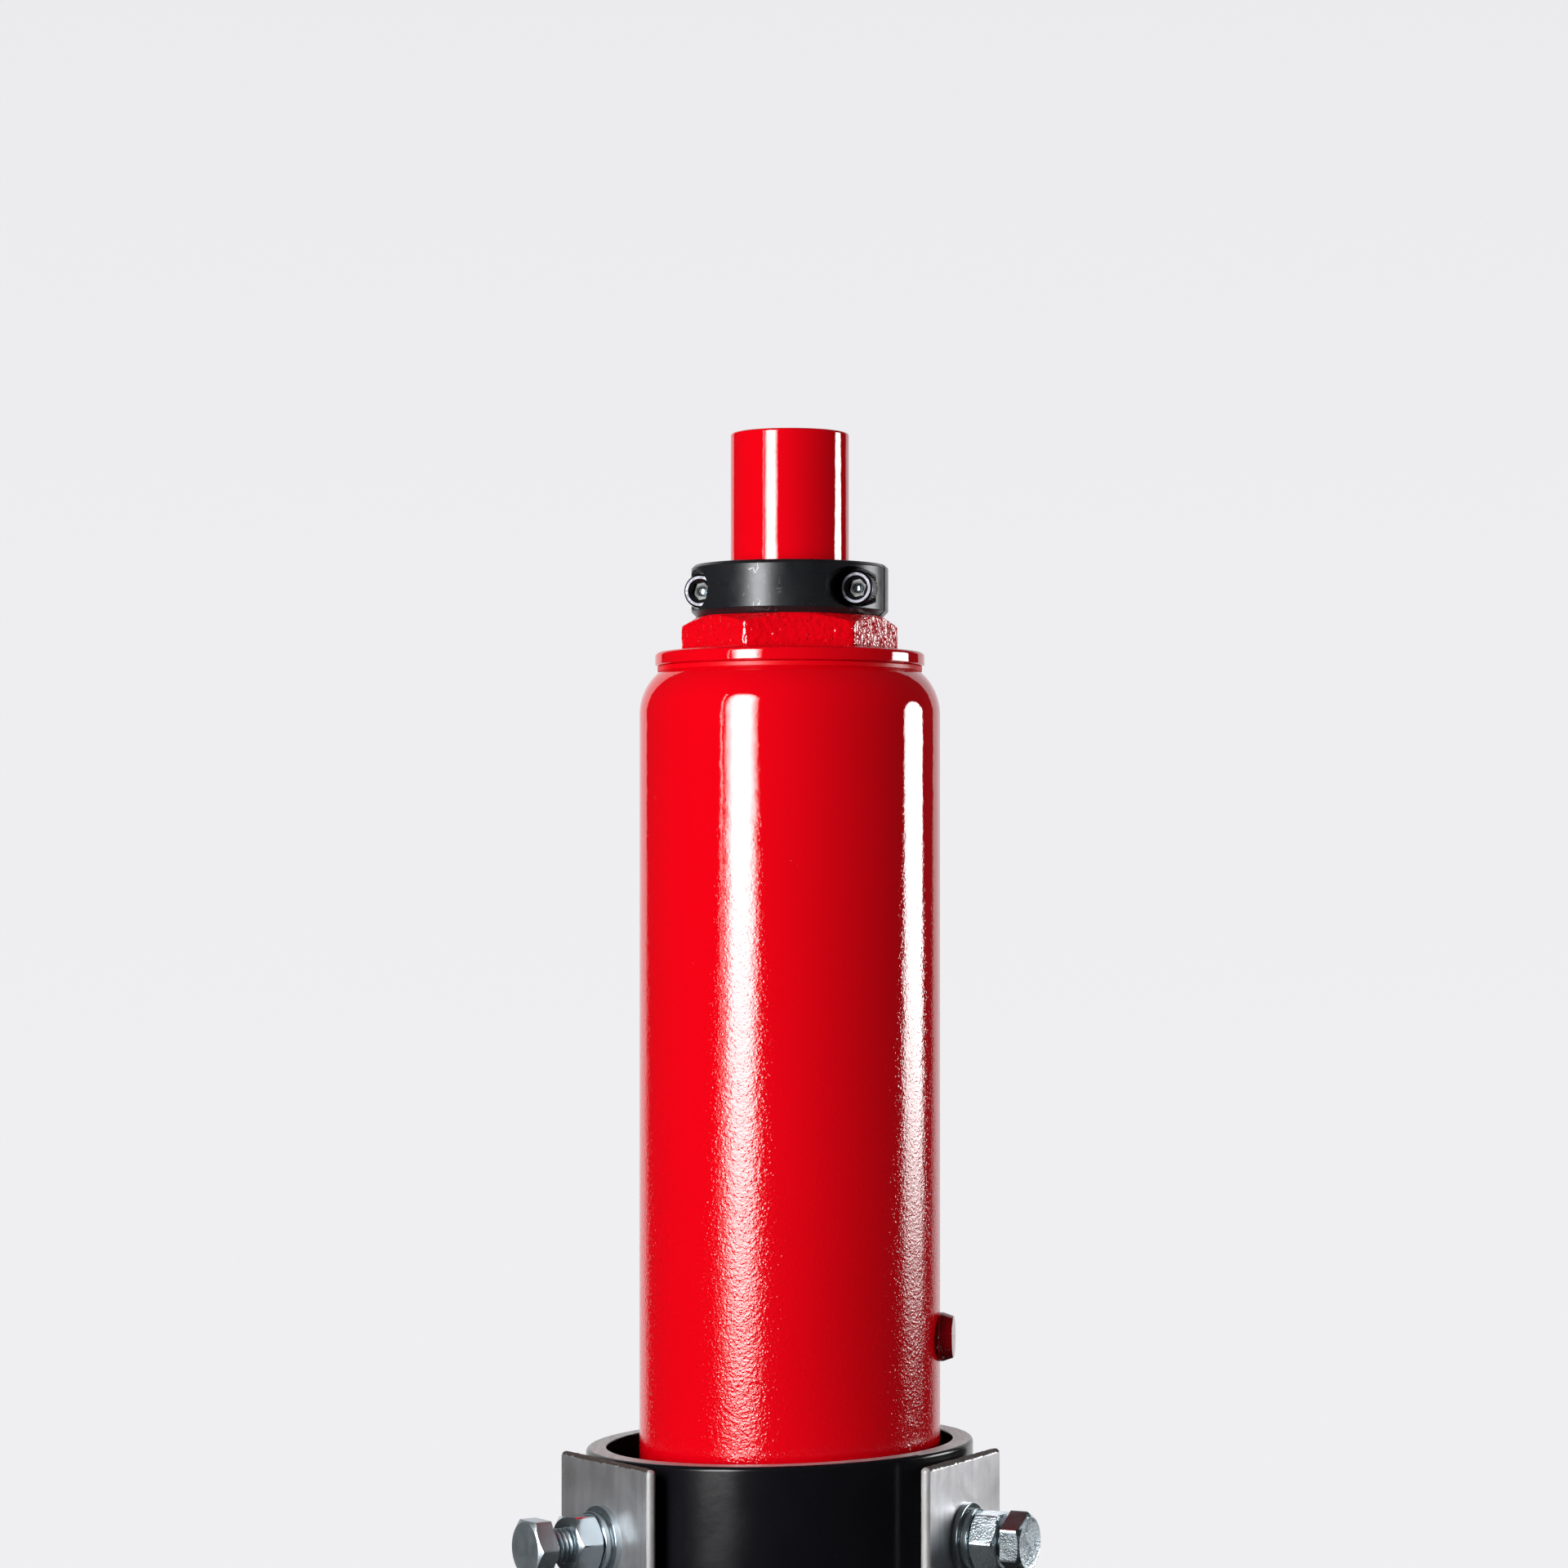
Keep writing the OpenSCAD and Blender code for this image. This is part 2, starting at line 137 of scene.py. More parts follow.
def facing(angle, axis_x=0.0, z=0.0):
    """A frame on a vertical axis: +Z points to the side that lies angle from the front, +Y points up."""
    out = Vector((math.sin(angle), -math.cos(angle), 0))
    side = UP.cross(out)
    turn = Matrix((side, UP, out)).transposed().to_4x4()
    return Matrix.Translation((axis_x, 0, z)) @ turn


def station(side):
    """The frame of one clamp bolt: +Z outwards along the bolt, +Y up, the origin on the tube's axis."""
    axis = Vector(joints[f"pad_{side}_slide"]["axis"])
    z = joints[f"bolt_{side}_turn"]["pos_m"][2]
    return facing(math.atan2(axis.x, -axis.y), z=z)


def span(node, m):
    """Where a CAD node begins and ends along the +Z of the frame m."""
    return along(node, m.translation, m.to_3x3().col[2])


def station_span(node, side):
    """Where a CAD node begins and ends along its clamp bolt."""
    return span(node, station(side))


# ---------------------------------------------------------------- mesh building

def finish_piece(name, bm, body, material, matrix=TUBE, nodes=(), crease=32):
    """Turns a bmesh into a shaded piece that rides on a body and stands for the named CAD nodes."""
    bmesh.ops.remove_doubles(bm, verts=bm.verts, dist=1e-7)
    bmesh.ops.recalc_face_normals(bm, faces=bm.faces)
    bmesh.ops.transform(bm, matrix=matrix, verts=bm.verts)
    mesh = bpy.data.meshes.new(name)
    bm.to_mesh(mesh)
    bm.free()
    for m in material if isinstance(material, (list, tuple)) else [material]:
        mesh.materials.append(m)
    mesh.shade_smooth()
    mesh.set_sharp_from_angle(angle=math.radians(crease))
    piece = bpy.data.objects.new(name, mesh)
    bpy.context.scene.collection.objects.link(piece)
    weighted = piece.modifiers.new("face_weighted_normals", "WEIGHTED_NORMAL")
    weighted.keep_sharp = True
    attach(piece, body)
    if nodes:
        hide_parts(*nodes)


def loft(loops, closed=False):
    """A skin over loops of points, joined in order. The ends are capped unless closed."""
    bm = bmesh.new()
    rings = [[bm.verts.new(p) for p in loop] for loop in loops]
    n = len(rings[0])
    pairs = list(zip(rings, rings[1:]))
    if closed:
        pairs.append((rings[-1], rings[0]))
    for a, b in pairs:
        for i in range(n):
            j = (i + 1) % n
            bm.faces.new((a[i], a[j], b[j], b[i]))
    if not closed:
        bm.faces.new(rings[0][::-1])
        bm.faces.new(rings[-1])
    return bm


def turned(rows, columns=128, closed=False):
    """A turned solid. Each row is (radius, height), or a function of the angle that gives them."""
    loops = []
    for row in rows:
        loop = []
        for i in range(columns):
            angle = 2 * math.pi * i / columns
            r, z = row(angle) if callable(row) else row
            loop.append((r * math.cos(angle), r * math.sin(angle), z))
        loops.append(loop)
    return loft(loops, closed)


def rounded(corners, radius, steps=4):
    """A closed outline with each corner cut to an arc. A corner (x, y, r) has a radius of its own."""
    outline = []
    count = len(corners)
    for k, corner in enumerate(corners):
        here = Vector(corner[:2])
        r = corner[2] if len(corner) > 2 else radius
        before = Vector(corners[k - 1][:2]) - here
        after = Vector(corners[(k + 1) % count][:2]) - here
        half = before.angle(after) / 2
        if r <= 0 or half > 1.55:
            outline.append(here)
            continue
        cut = min(r / math.tan(half), 0.49 * before.length, 0.49 * after.length)
        r = cut * math.tan(half)
        start = here + before.normalized() * cut
        end = here + after.normalized() * cut
        centre = here + (before.normalized() + after.normalized()).normalized() * (r / math.sin(half))
        first = math.atan2(*(start - centre).yx)
        sweep = math.atan2(*(end - centre).yx) - first
        sweep = (sweep + math.pi) % (2 * math.pi) - math.pi
        for s in range(steps + 1):
            angle = first + sweep * s / steps
            outline.append(centre + Vector((math.cos(angle), math.sin(angle))) * r)
    return outline


def turned_ring(corners, edge, columns=128, steps=4):
    return turned(rounded(corners, edge, steps), columns, closed=True)


def ring_corners(r_in, r_out, z0, z1):
    return [(r_in, z0), (r_out, z0), (r_out, z1), (r_in, z1)]


def hex_radius(angle, apothem, turn=0.0, sharpness=90):
    """Radius of a hexagon with slightly rounded corners, one of which lies at turn."""
    flats = [math.cos(angle - turn - math.radians(30 + 60 * k)) for k in range(6)]
    return apothem / sum(max(0, f) ** sharpness for f in flats) ** (1 / sharpness)


def thread_radius(angle, z, major, pitch, depth):
    """Radius of a right-hand thread at one point."""
    phase = (z / pitch - angle / (2 * math.pi)) % 1
    ridge = abs(2 * phase - 1)
    return major - depth * (1 - min(1, max(0, (ridge - 0.12) / 0.76)))


def spaced(a, b, step):
    """Values from a to b, evenly spaced and no further apart than step."""
    n = max(1, math.ceil(abs(b - a) / step))
    return [a + (b - a) * k / n for k in range(n + 1)]


def cylinder_cutter(r, z0, z1, matrix, columns=96):
    bm = turned([(r, z0), (r, z1)], columns)
    bmesh.ops.transform(bm, matrix=matrix, verts=bm.verts)
    return bm


def capsule_cutter(r, y0, y1, z0, z1, matrix):
    """A slot's shape: round ends of radius r about y0 and y1, running from z0 to z1."""
    outline = []
    for centre, start in ((y1, 0), (y0, math.pi)):
        for k in range(33):
            angle = start + math.pi * k / 32
            outline.append((r * math.cos(angle), centre + r * math.sin(angle)))
    bm = loft([[(x, y, z) for x, y in outline] for z in (z0, z1)])
    bmesh.ops.transform(bm, matrix=matrix, verts=bm.verts)
    return bm


def carve(bm, cutters):
    """Takes the cutters' shapes away from bm."""
    def as_object(source, name):
        bmesh.ops.recalc_face_normals(source, faces=source.faces)
        mesh = bpy.data.meshes.new(name)
        source.to_mesh(mesh)
        source.free()
        made = bpy.data.objects.new(name, mesh)
        bpy.context.scene.collection.objects.link(made)
        return made

    target = as_object(bm, "carve_target")
    tools = [as_object(cutter, "carve_tool") for cutter in cutters]
    for tool in tools:
        cut = target.modifiers.new("cut", "BOOLEAN")
        cut.operation = "DIFFERENCE"
        cut.solver = "EXACT"
        cut.object = tool
    carved = bmesh.new()
    evaluated = target.evaluated_get(bpy.context.evaluated_depsgraph_get())
    carved.from_mesh(evaluated.to_mesh())
    evaluated.to_mesh_clear()
    for thing in [target, *tools]:
        mesh = thing.data
        bpy.data.objects.remove(thing)
        bpy.data.meshes.remove(mesh)
    return carved


def plate_outline(width, height, corner, step):
    """A rectangle's outline with round corners and points every step along its sides."""
    w = width / 2
    h = height / 2
    corners = rounded([(-w, -h), (w, -h), (w, h), (-w, h)], corner, 8)
    outline = []
    for a, b in zip(corners, corners[1:] + corners[:1]):
        n = max(1, int((b - a).length / step))
        outline += [a.lerp(b, k / n) for k in range(n)]
    return outline


def plate(width, height, corner, thickness, bevel, holes, step):
    """A plate with rounded edges, lying in XY and centred on z = 0. Holes are (x, y, radius)."""
    outline = plate_outline(width, height, corner, step)
    count = len(outline)
    outward = []
    for k in range(count):
        run = (outline[(k + 1) % count] - outline[k - 1]).normalized()
        outward.append(Vector((run.y, -run.x)))
    loops = []
    for k in range(-6, 7):
        turn = math.radians(15 * k)
        inset = bevel * (1 - math.cos(turn))
        z = math.copysign(thickness / 2 - bevel, k) + bevel * math.sin(turn) if k else 0
        loops.append([(p.x - o.x * inset, p.y - o.y * inset, z) for p, o in zip(outline, outward)])
    cutters = [
        cylinder_cutter(r, -thickness, thickness, Matrix.Translation((x, y, 0)), 64) for x, y, r in holes
    ]
    return carve(loft(loops), cutters)


# ---------------------------------------------------------------- materials

class Paint:
    """A small helper for one procedural material. Texture coordinates are row-frame metres at rest."""

    def __init__(self, name):
        self.material = bpy.data.materials.new(name)
        self.material.use_nodes = True
        self.nodes = self.material.node_tree.nodes
        self.links = self.material.node_tree.links
        self.shader = self.nodes["Principled BSDF"]
        self.place = self.nodes.new("ShaderNodeTexCoord").outputs["Object"]

    def feed(self, socket, value):
        """Links a value that another node gives, or sets a plain one."""
        if isinstance(value, bpy.types.NodeSocket):
            self.links.new(value, socket)
        elif isinstance(value, tuple) and len(value) == 3 and socket.type == "RGBA":
            socket.default_value = (*value, 1)
        else:
            socket.default_value = value

    def put(self, node, settings):
        for key, value in settings.items():
            self.feed(node.inputs[key], value)
        return node

    def set(self, **settings):
        self.put(self.shader, {key.replace("_", " "): value for key, value in settings.items()})

    def noise(self, scale, detail=3.0, roughness=0.5, stretch=(1, 1, 1)):
        mapped = self.put(self.nodes.new("ShaderNodeMapping"), {"Vector": self.place, "Scale": stretch})
        node = self.nodes.new("ShaderNodeTexNoise")
        made = {"Vector": mapped.outputs[0], "Scale": scale, "Detail": detail, "Roughness": roughness}
        return self.put(node, made).outputs["Fac"]

    def cells(self, scale):
        """Distance from the middle of the nearest of many scattered cells."""
        node = self.nodes.new("ShaderNodeTexVoronoi")
        return self.put(node, {"Vector": self.place, "Scale": scale}).outputs["Distance"]

    def math(self, operation, a, b=0.5):
        node = self.nodes.new("ShaderNodeMath")
        node.operation = operation
        for socket, value in zip(node.inputs, (a, b)):
            self.feed(socket, value)
        return node.outputs[0]

    def spread(self, value, low, high, to_low=0.0, to_high=1.0):
        """Stretches value from the span low..high to the span to_low..to_high, clamped."""
        node = self.nodes.new("ShaderNodeMapRange")
        made = {"Value": value, "From Min": low, "From Max": high, "To Min": to_low, "To Max": to_high}
        return self.put(node, made).outputs[0]

    def vary(self, scale, detail, low, high):
        """A value that wanders between low and high with the noise of that scale."""
        return self.spread(self.noise(scale, detail), 0.3, 0.7, low, high)

    def mix(self, factor, a, b):
        """The colour a where factor is 0, the colour b where it is 1."""
        node = self.nodes.new("ShaderNodeMix")
        node.data_type = "RGBA"
        return self.put(node, {0: factor, 6: a, 7: b}).outputs[2]

    def part(self, axis):
        """One coordinate of the place on the object: 0, 1 or 2."""
        node = self.nodes.new("ShaderNodeSeparateXYZ")
        self.links.new(self.place, node.inputs[0])
        return node.outputs[axis]

    def near(self, centre, radius):
        """1 at centre, falling to 0 at radius."""
        node = self.nodes.new("ShaderNodeVectorMath")
        node.operation = "DISTANCE"
        self.links.new(self.place, node.inputs[0])
        node.inputs[1].default_value = centre
        return self.spread(node.outputs["Value"], 0, radius, 1, 0)

    def facing_up(self):
        """How far the surface faces up in the object's own frame, from -1 to 1."""
        coords = self.nodes.new("ShaderNodeTexCoord")
        node = self.nodes.new("ShaderNodeSeparateXYZ")
        self.links.new(coords.outputs["Normal"], node.inputs[0])
        return node.outputs[2]

    def bump(self, height, strength, distance, after=None):
        node = self.nodes.new("ShaderNodeBump")
        made = {"Height": height, "Strength": strength, "Distance": distance}
        if after is not None:
            made["Normal"] = after
        return self.put(node, made).outputs[0]


RED = (0.68, 0.0, 0.006)
DEEP_RED = (0.62, 0.0, 0.004)


def red_enamel():
    """Glossy enamel with orange peel, dust nibs and a dry, speckled spray towards the foot."""
    p = Paint("red_enamel")
    shade = p.mix(p.noise(14, 4), RED, DEEP_RED)
    dry = p.spread(p.part(2), RIM_Z + 200 * MM, RIM_Z + 60 * MM, 0.05, 1.0)
    domes = p.spread(p.cells(950), 0.0, 0.40, 1.0, 0.0)
    peel = p.bump(p.noise(190, 2), 0.10, 0.5 * MM)
    peel = p.bump(p.math("MULTIPLY", dry, p.noise(1000, 2)), 0.8, 0.125 * MM, peel)
    peel = p.bump(p.math("MULTIPLY", dry, domes), 1.0, 0.050 * MM, peel)
    nibs = p.spread(p.cells(420), 0.0, 0.07, 1.0, 0.0)
    rare = p.math("MULTIPLY", nibs, p.spread(p.noise(60, 1), 0.60, 0.66))
    peel = p.bump(rare, 0.5, 0.2 * MM, peel)
    p.set(Base_Color=shade, Roughness=p.vary(45, 3, 0.4, 0.5), Specular_IOR_Level=0.0)
    satin = p.spread(dry, 0.0, 1.0, 0.03, 0.09)
    p.set(Coat_Weight=1.0, Coat_Roughness=satin, Coat_IOR=1.6, Coat_Normal=peel, Normal=peel)
    return p.material


def plug_enamel_painted_shade():
    """The enamel on the filler plug, smooth, with its colour painted dark as painted shade, since the plug
    faces away from the lamps.
    """
    p = Paint("plug_enamel_painted_shade")
    # The two dark reds are painted shade, not a colour of the enamel.
    p.set(Base_Color=p.mix(p.noise(150, 3), (0.16, 0, 0.003), (0.30, 0, 0.004)), Specular_IOR_Level=0.0)
    p.set(Roughness=p.vary(200, 3, 0.4, 0.5))
    p.set(Normal=p.bump(p.noise(400, 2), 0.2, 0.1 * MM))
    p.set(Coat_Weight=1.0, Coat_Roughness=0.06, Coat_IOR=1.5)
    return p.material


def cast_enamel():
    """The same enamel over a rough casting."""
    p = Paint("cast_enamel")
    shade = p.mix(p.noise(60, 4), RED, DEEP_RED)
    lumps = p.bump(p.noise(720, 1, 0.5), 1.0, 0.42 * MM)
    nibs = p.spread(p.cells(700), 0.08, 0.24, 1.0, 0.0)
    rare = p.math("MULTIPLY", nibs, p.spread(p.noise(330, 1), 0.56, 0.60))
    lumps = p.bump(rare, 1.0, 0.45 * MM, lumps)
    p.set(Base_Color=shade, Roughness=p.vary(120, 3, 0.4, 0.5), Specular_IOR_Level=0.0)
    p.set(Coat_Weight=1.0, Coat_Roughness=0.05, Coat_IOR=1.6, Coat_Normal=lumps, Normal=lumps)
    return p.material


def dull_enamel():
    """The enamel where it lies thin and dull over the gasket."""
    p = Paint("dull_enamel")
    p.set(Base_Color=p.mix(p.noise(90, 4), RED, DEEP_RED), Specular_IOR_Level=0.0)
    p.set(Roughness=p.vary(200, 3, 0.5, 0.6))
    p.set(Normal=p.bump(p.noise(800, 3), 0.4, 0.3 * MM))
    p.set(Coat_Weight=0.5, Coat_Roughness=0.30, Coat_IOR=1.5)
    return p.material


def tube_black():
    """Satin black paint with faint dust and a mottled sheen."""
    p = Paint("tube_black")
    shade = p.mix(p.noise(30, 5), (0.003, 0.003, 0.004), (0.006, 0.006, 0.008))
    shade = p.mix(p.spread(p.noise(900, 2), 0.70, 0.78, 0, 0.2), shade, (0.03, 0.03, 0.035))
    rough = p.vary(90, 4, 0.165, 0.215)
    skin = p.bump(p.noise(500, 3), 0.12, 0.12 * MM)
    p.set(Base_Color=shade, Roughness=rough, Normal=skin, Specular_IOR_Level=0.24)
    return p.material


def weld_black():
    """Black paint over a rippled weld."""
    p = Paint("weld_black")
    p.set(Base_Color=p.mix(p.noise(200, 4), (0.008, 0.008, 0.009), (0.02, 0.02, 0.022)))
    p.set(Roughness=p.vary(300, 3, 0.35, 0.55))
    p.set(Normal=p.bump(p.noise(900, 4), 0.4, 0.3 * MM))
    return p.material


def cut_steel():
    """Bare saw-cut steel, pale, with fine scratches across."""
    p = Paint("cut_steel")
    shade = p.mix(p.noise(260, 4), (0.42, 0.41, 0.41), (0.60, 0.59, 0.59))
    lines = p.noise(1200, 3, 0.6, (1, 0.08, 1))
    p.set(Base_Color=shade, Metallic=0.75, Roughness=p.spread(lines, 0.3, 0.7, 0.42, 0.62))
    p.set(Normal=p.bump(lines, 0.25, 0.1 * MM))
    return p.material


def mill_steel():
    """Raw flat bar: vertical drawing streaks, small pits, stains and dark sheared ends."""
    p = Paint("mill_steel")
    streaks = p.noise(300, 6, 0.7, (1, 1, 0.10))
    shade = p.mix(p.spread(streaks, 0.3, 0.72), (0.50, 0.50, 0.515), (0.74, 0.74, 0.77))
    stain = p.spread(p.noise(60, 5, 0.6), 0.46, 0.72, 0, 0.75)
    shade = p.mix(stain, shade, (0.36, 0.345, 0.34))
    pits = p.spread(p.cells(900), 0.0, 0.16, 1.0, 0.0)
    rare = p.math("MULTIPLY", pits, p.spread(p.noise(170, 2), 0.52, 0.62))
    shade = p.mix(p.math("MULTIPLY", rare, 0.7), shade, (0.09, 0.08, 0.075))
    ragged = p.spread(p.noise(700, 4, 0.6), 0.3, 0.7, -0.25, 0.2)
    ends = p.spread(p.math("ADD", p.math("ABSOLUTE", p.facing_up()), ragged), 0.22, 0.42)
    shade = p.mix(ends, shade, (0.055, 0.04, 0.035))
    metal = p.spread(ends, 0, 1, 0.85, 0.3)
    rough = p.math("ADD", p.vary(240, 4, 0.34, 0.46), p.math("MULTIPLY", ends, 0.25))
    grain = p.bump(streaks, 0.3, 0.12 * MM)
    grain = p.bump(p.noise(1600, 3), 0.25, 0.08 * MM, grain)
    grain = p.bump(p.math("MULTIPLY", ends, p.noise(700, 4)), 0.8, 0.4 * MM, grain)
    p.set(Base_Color=shade, Metallic=metal, Roughness=rough, Normal=grain)
    return p.material


def rolled_edge():
    """The rolled round edges of the flat bar, pale and matt."""
    p = Paint("rolled_edge")
    shade = p.mix(p.noise(500, 4, 0.6, (1, 1, 0.2)), (0.30, 0.29, 0.29), (0.56, 0.55, 0.55))
    p.set(Base_Color=shade, Metallic=0.3, Roughness=p.vary(400, 3, 0.50, 0.66))
    p.set(Normal=p.bump(p.noise(900, 3), 0.5, 0.2 * MM))
    return p.material


def zinc(name, light, grit, blur):
    """Bluish zinc plate with dull fingerprints. The grit of a forged face makes it sparkle. The factor
    light scales the colour, so that a copy can be painted lighter or darker, as painted light or painted
    shade.
    """
    p = Paint(name)
    low = (0.50 * light, 0.59 * light, 0.64 * light)
    high = (0.65 * light, 0.72 * light, 0.76 * light)
    shade = p.mix(p.noise(120, 3), low, high)
    shade = p.mix(p.spread(p.noise(45, 2), 0.5, 0.8, 0, 0.4), shade, tuple(0.8 * c for c in low))
    skin = p.bump(p.noise(1900, 1), 0.8, grit)
    dull = p.vary(260, 3, blur - 0.05, blur + 0.05)
    p.set(Base_Color=shade, Metallic=0.95, Roughness=dull, Normal=skin)
    return p.material


def black_oxide():
    """Blackened steel with a satin sheen and a patch of bright scuffs on the front."""
    p = Paint("black_oxide")
    centre = facing(COLLAR_TURN, BODY_X, (COLLAR_Z + COLLAR_TOP) / 2) @ Vector((-1 * MM, 0, COLLAR_R))
    patch = p.spread(p.near(centre, 9 * MM), 0.1, 0.8)
    hatch = p.math("ABSOLUTE", p.math("SUBTRACT", p.noise(240, 2, 0.6, (1, 1, 0.7)), 0.5))
    sparse = p.spread(p.noise(300, 2), 0.50, 0.62)
    scuffs = p.math("MULTIPLY", p.math("MULTIPLY", p.spread(hatch, 0.0, 0.012, 0.9, 0), sparse), patch)
    dust = p.spread(p.noise(2300, 1), 0.70, 0.76, 0, 0.4)
    shade = p.mix(p.noise(80, 4), (0.010, 0.011, 0.013), (0.020, 0.021, 0.024))
    shade = p.mix(dust, shade, (0.10, 0.10, 0.11))
    shade = p.mix(scuffs, shade, (0.55, 0.55, 0.56))
    skin = p.bump(p.noise(900, 3), 0.12, 0.1 * MM)
    sheen = p.vary(160, 3, 0.25, 0.34)
    p.set(Base_Color=shade, Metallic=0.35, Roughness=sheen, Normal=skin)
    return p.material


def worn_bright():
    """The screw heads' faces, rubbed bright through the black."""
    p = Paint("worn_bright")
    shade = p.mix(p.noise(1500, 4), (0.03, 0.03, 0.036), (0.12, 0.12, 0.135))
    p.set(Base_Color=shade, Metallic=1.0, Roughness=p.vary(900, 3, 0.28, 0.45))
    p.set(Normal=p.bump(p.noise(2500, 3), 0.4, 0.06 * MM))
    return p.material


def socket_black():
    p = Paint("socket_black")
    shade = p.mix(p.noise(700, 3), (0.007, 0.007, 0.008), (0.02, 0.02, 0.022))
    p.set(Base_Color=shade, Metallic=0.3, Roughness=p.vary(500, 3, 0.2, 0.32))
    p.set(Normal=p.bump(p.noise(1500, 2), 0.2, 0.06 * MM))
    return p.material


def turned_metal(name, dark, light, roughness):
    """Machined metal with fine turning marks round the vertical axis."""
    p = Paint(name)
    marks = p.noise(2600, 2, 0.5, (0.02, 0.02, 1))
    shade = p.mix(p.noise(90, 4), dark, light)
    p.set(Base_Color=shade, Metallic=1.0, Roughness=p.spread(marks, 0.3, 0.7, roughness, roughness + 0.14))
    p.set(Normal=p.bump(marks, 0.25, 0.04 * MM))
    return p.material


def rubber():
    p = Paint("seal_rubber")
    shade = p.mix(p.noise(300, 4), (0.012, 0.012, 0.013), (0.03, 0.03, 0.032))
    p.set(Base_Color=shade, Roughness=p.vary(400, 3, 0.5, 0.7))
    p.set(Normal=p.bump(p.noise(1500, 3), 0.3, 0.08 * MM))
    return p.material


ENAMEL = red_enamel()
CAST = cast_enamel()
DULL = dull_enamel()
PLUG_PAINTED_SHADE = plug_enamel_painted_shade()
BLACK = tube_black()
WELD = weld_black()
CUT = cut_steel()
MILL = mill_steel()
ROLLED = rolled_edge()
# The zinc copies differ in painted light. The gritty one is painted lighter, as painted light on the right
# nut and the right bolt's end face. The dull one is painted half as dark, as painted shade on the right
# bolt's sides. The forged one is a touch darker.
ZINC = zinc("zinc_plate", 1.0, 0.012 * MM, 0.17)
LIT_GRITTY_ZINC = zinc("zinc_plate_gritty_painted_light", 1.25, 0.16 * MM, 0.28)
SHADED_ZINC = zinc("zinc_plate_painted_shade", 0.5, 0.04 * MM, 0.20)
FORGED_ZINC = zinc("zinc_plate_forged", 0.95, 0.05 * MM, 0.42)
OXIDE = black_oxide()
BRIGHT = worn_bright()
SOCKET = socket_black()
STEEL = turned_metal("machined_steel", (0.45, 0.45, 0.46), (0.62, 0.62, 0.64), 0.24)
CHROME = turned_metal("ground_rod", (0.66, 0.67, 0.69), (0.74, 0.75, 0.77), 0.08)
BRONZE = turned_metal("bronze", (0.48, 0.30, 0.12), (0.70, 0.47, 0.22), 0.24)
WIRE = turned_metal("spring_wire", (0.30, 0.30, 0.31), (0.48, 0.48, 0.50), 0.3)
RUBBER = rubber()


def paint_faces(bm, test, index):
    """Gives the faces whose centre passes test the material with that index."""
    for face in bm.faces:
        if test(face.calc_center_median(), face.normal):
            face.material_index = index


# ---------------------------------------------------------------- outer tube and base

def make_outer_tube():
    outer_edge = 1.3 * MM
    inner_edge = 0.4 * MM
    rise = math.tan(RIM_SLANT)
    corners = [(TUBE_IN, -1), (TUBE_OUT, -1), (TUBE_OUT, 0, outer_edge), (TUBE_IN, 0, inner_edge)]
    section = rounded(corners, 0, 6)

    def rim_row(r, depth):
        if depth < -0.5:
            return (r, FOOT_Z)
        return lambda angle: (r, RIM_Z + depth + r * math.cos(angle) * rise)

    bm = turned([rim_row(r, depth) for r, depth in section], 256, closed=True)
    past = 5 * MM
    cutters = [cylinder_cutter(BOLT_HOLE_R, TUBE_IN - past, TUBE_OUT + past, station(s)) for s in SIDES]
    rear = facing(math.pi)
    cutters.append(capsule_cutter(SLOT_W / 2, PORT_Z, SLOT_TOP, TUBE_IN - 8 * MM, TUBE_OUT + past, rear))
    bm = carve(bm, cutters)
    paint_faces(bm, lambda c, n: c.z > RIM_Z - 3 * MM and n.z > 0.93, 1)
    finish_piece("outer_tube_painted", bm, "outer", [BLACK, CUT], nodes=["outer_tube"])


def make_base_plate():
    lo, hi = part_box("base_plate")
    side = hi.x - lo.x
    t = hi.z - lo.z
    pitch = 60 * MM
    holes = [(x * pitch, y * pitch, 7 * MM) for x in (-1, 1) for y in (-1, 1)]
    bm = plate(side, side, 10 * MM, t, 0.8 * MM, holes, 20 * MM)
    matrix = Matrix.Translation((0, 0, t / 2))
    finish_piece("base_plate_painted", bm, "outer", BLACK, matrix, ["base_plate"])


def make_foot_weld():
    z0, z1 = heights("tube_foot_weld")
    leg = z1 - z0
    ripples = 84

    def row(share):
        def at(angle):
            crown = math.sin(math.pi * share)
            scallop = abs(math.sin(ripples * angle / 2 + 2.2 * share))
            swell = crown * leg * (0.10 + 0.07 * scallop) - crown * leg * 0.18
            out = leg * (1 - share) + swell
            up = leg * share + swell
            return (TUBE_OUT + max(0, out), z0 + max(0, up))
        return at

    rows = [(TUBE_OUT, z0)] + [row(k / 10) for k in range(11)]
    bm = turned(rows, 504, closed=True)
    finish_piece("foot_weld_bead", bm, "outer", WELD, nodes=["tube_foot_weld"], crease=60)


# ---------------------------------------------------------------- clamp stations

def make_bracket(side):
    """A sheared length of flat bar: its upright edges are rolled round, its ends are ragged."""
    node = f"bracket_{side}"
    m = station(side)
    z0, z1 = station_span(node, side)
    x0, x1 = along(node, m.translation, m.to_3x3().col[0])
    lo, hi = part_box(node)
    width = x1 - x0
    height = hi.z - lo.z
    hole = (0, 0, BOLT_HOLE_R)
    bm = plate(width, height, 1.6 * MM, z1 - z0, 1.4 * MM, [hole], 0.8 * MM)
    bm.normal_update()
    paint_faces(bm, lambda c, n: abs(n.x) > 0.35 and abs(c.x) > width / 2 - 3 * MM, 1)
    for v in bm.verts:
        if abs(v.co.y) > height / 2 - 0.9 * MM:
            ragged = noise.noise(Vector((v.co.x * 420, v.co.z * 500, z0 * 900)))
            v.co.y -= math.copysign(0.18 * MM * (ragged + 0.6), v.co.y)
    matrix = m @ Matrix.Translation((0, 0, (z0 + z1) / 2))
    finish_piece(
        f"bracket_plate_{side}", bm, "outer", [MILL, ROLLED], matrix, [node])


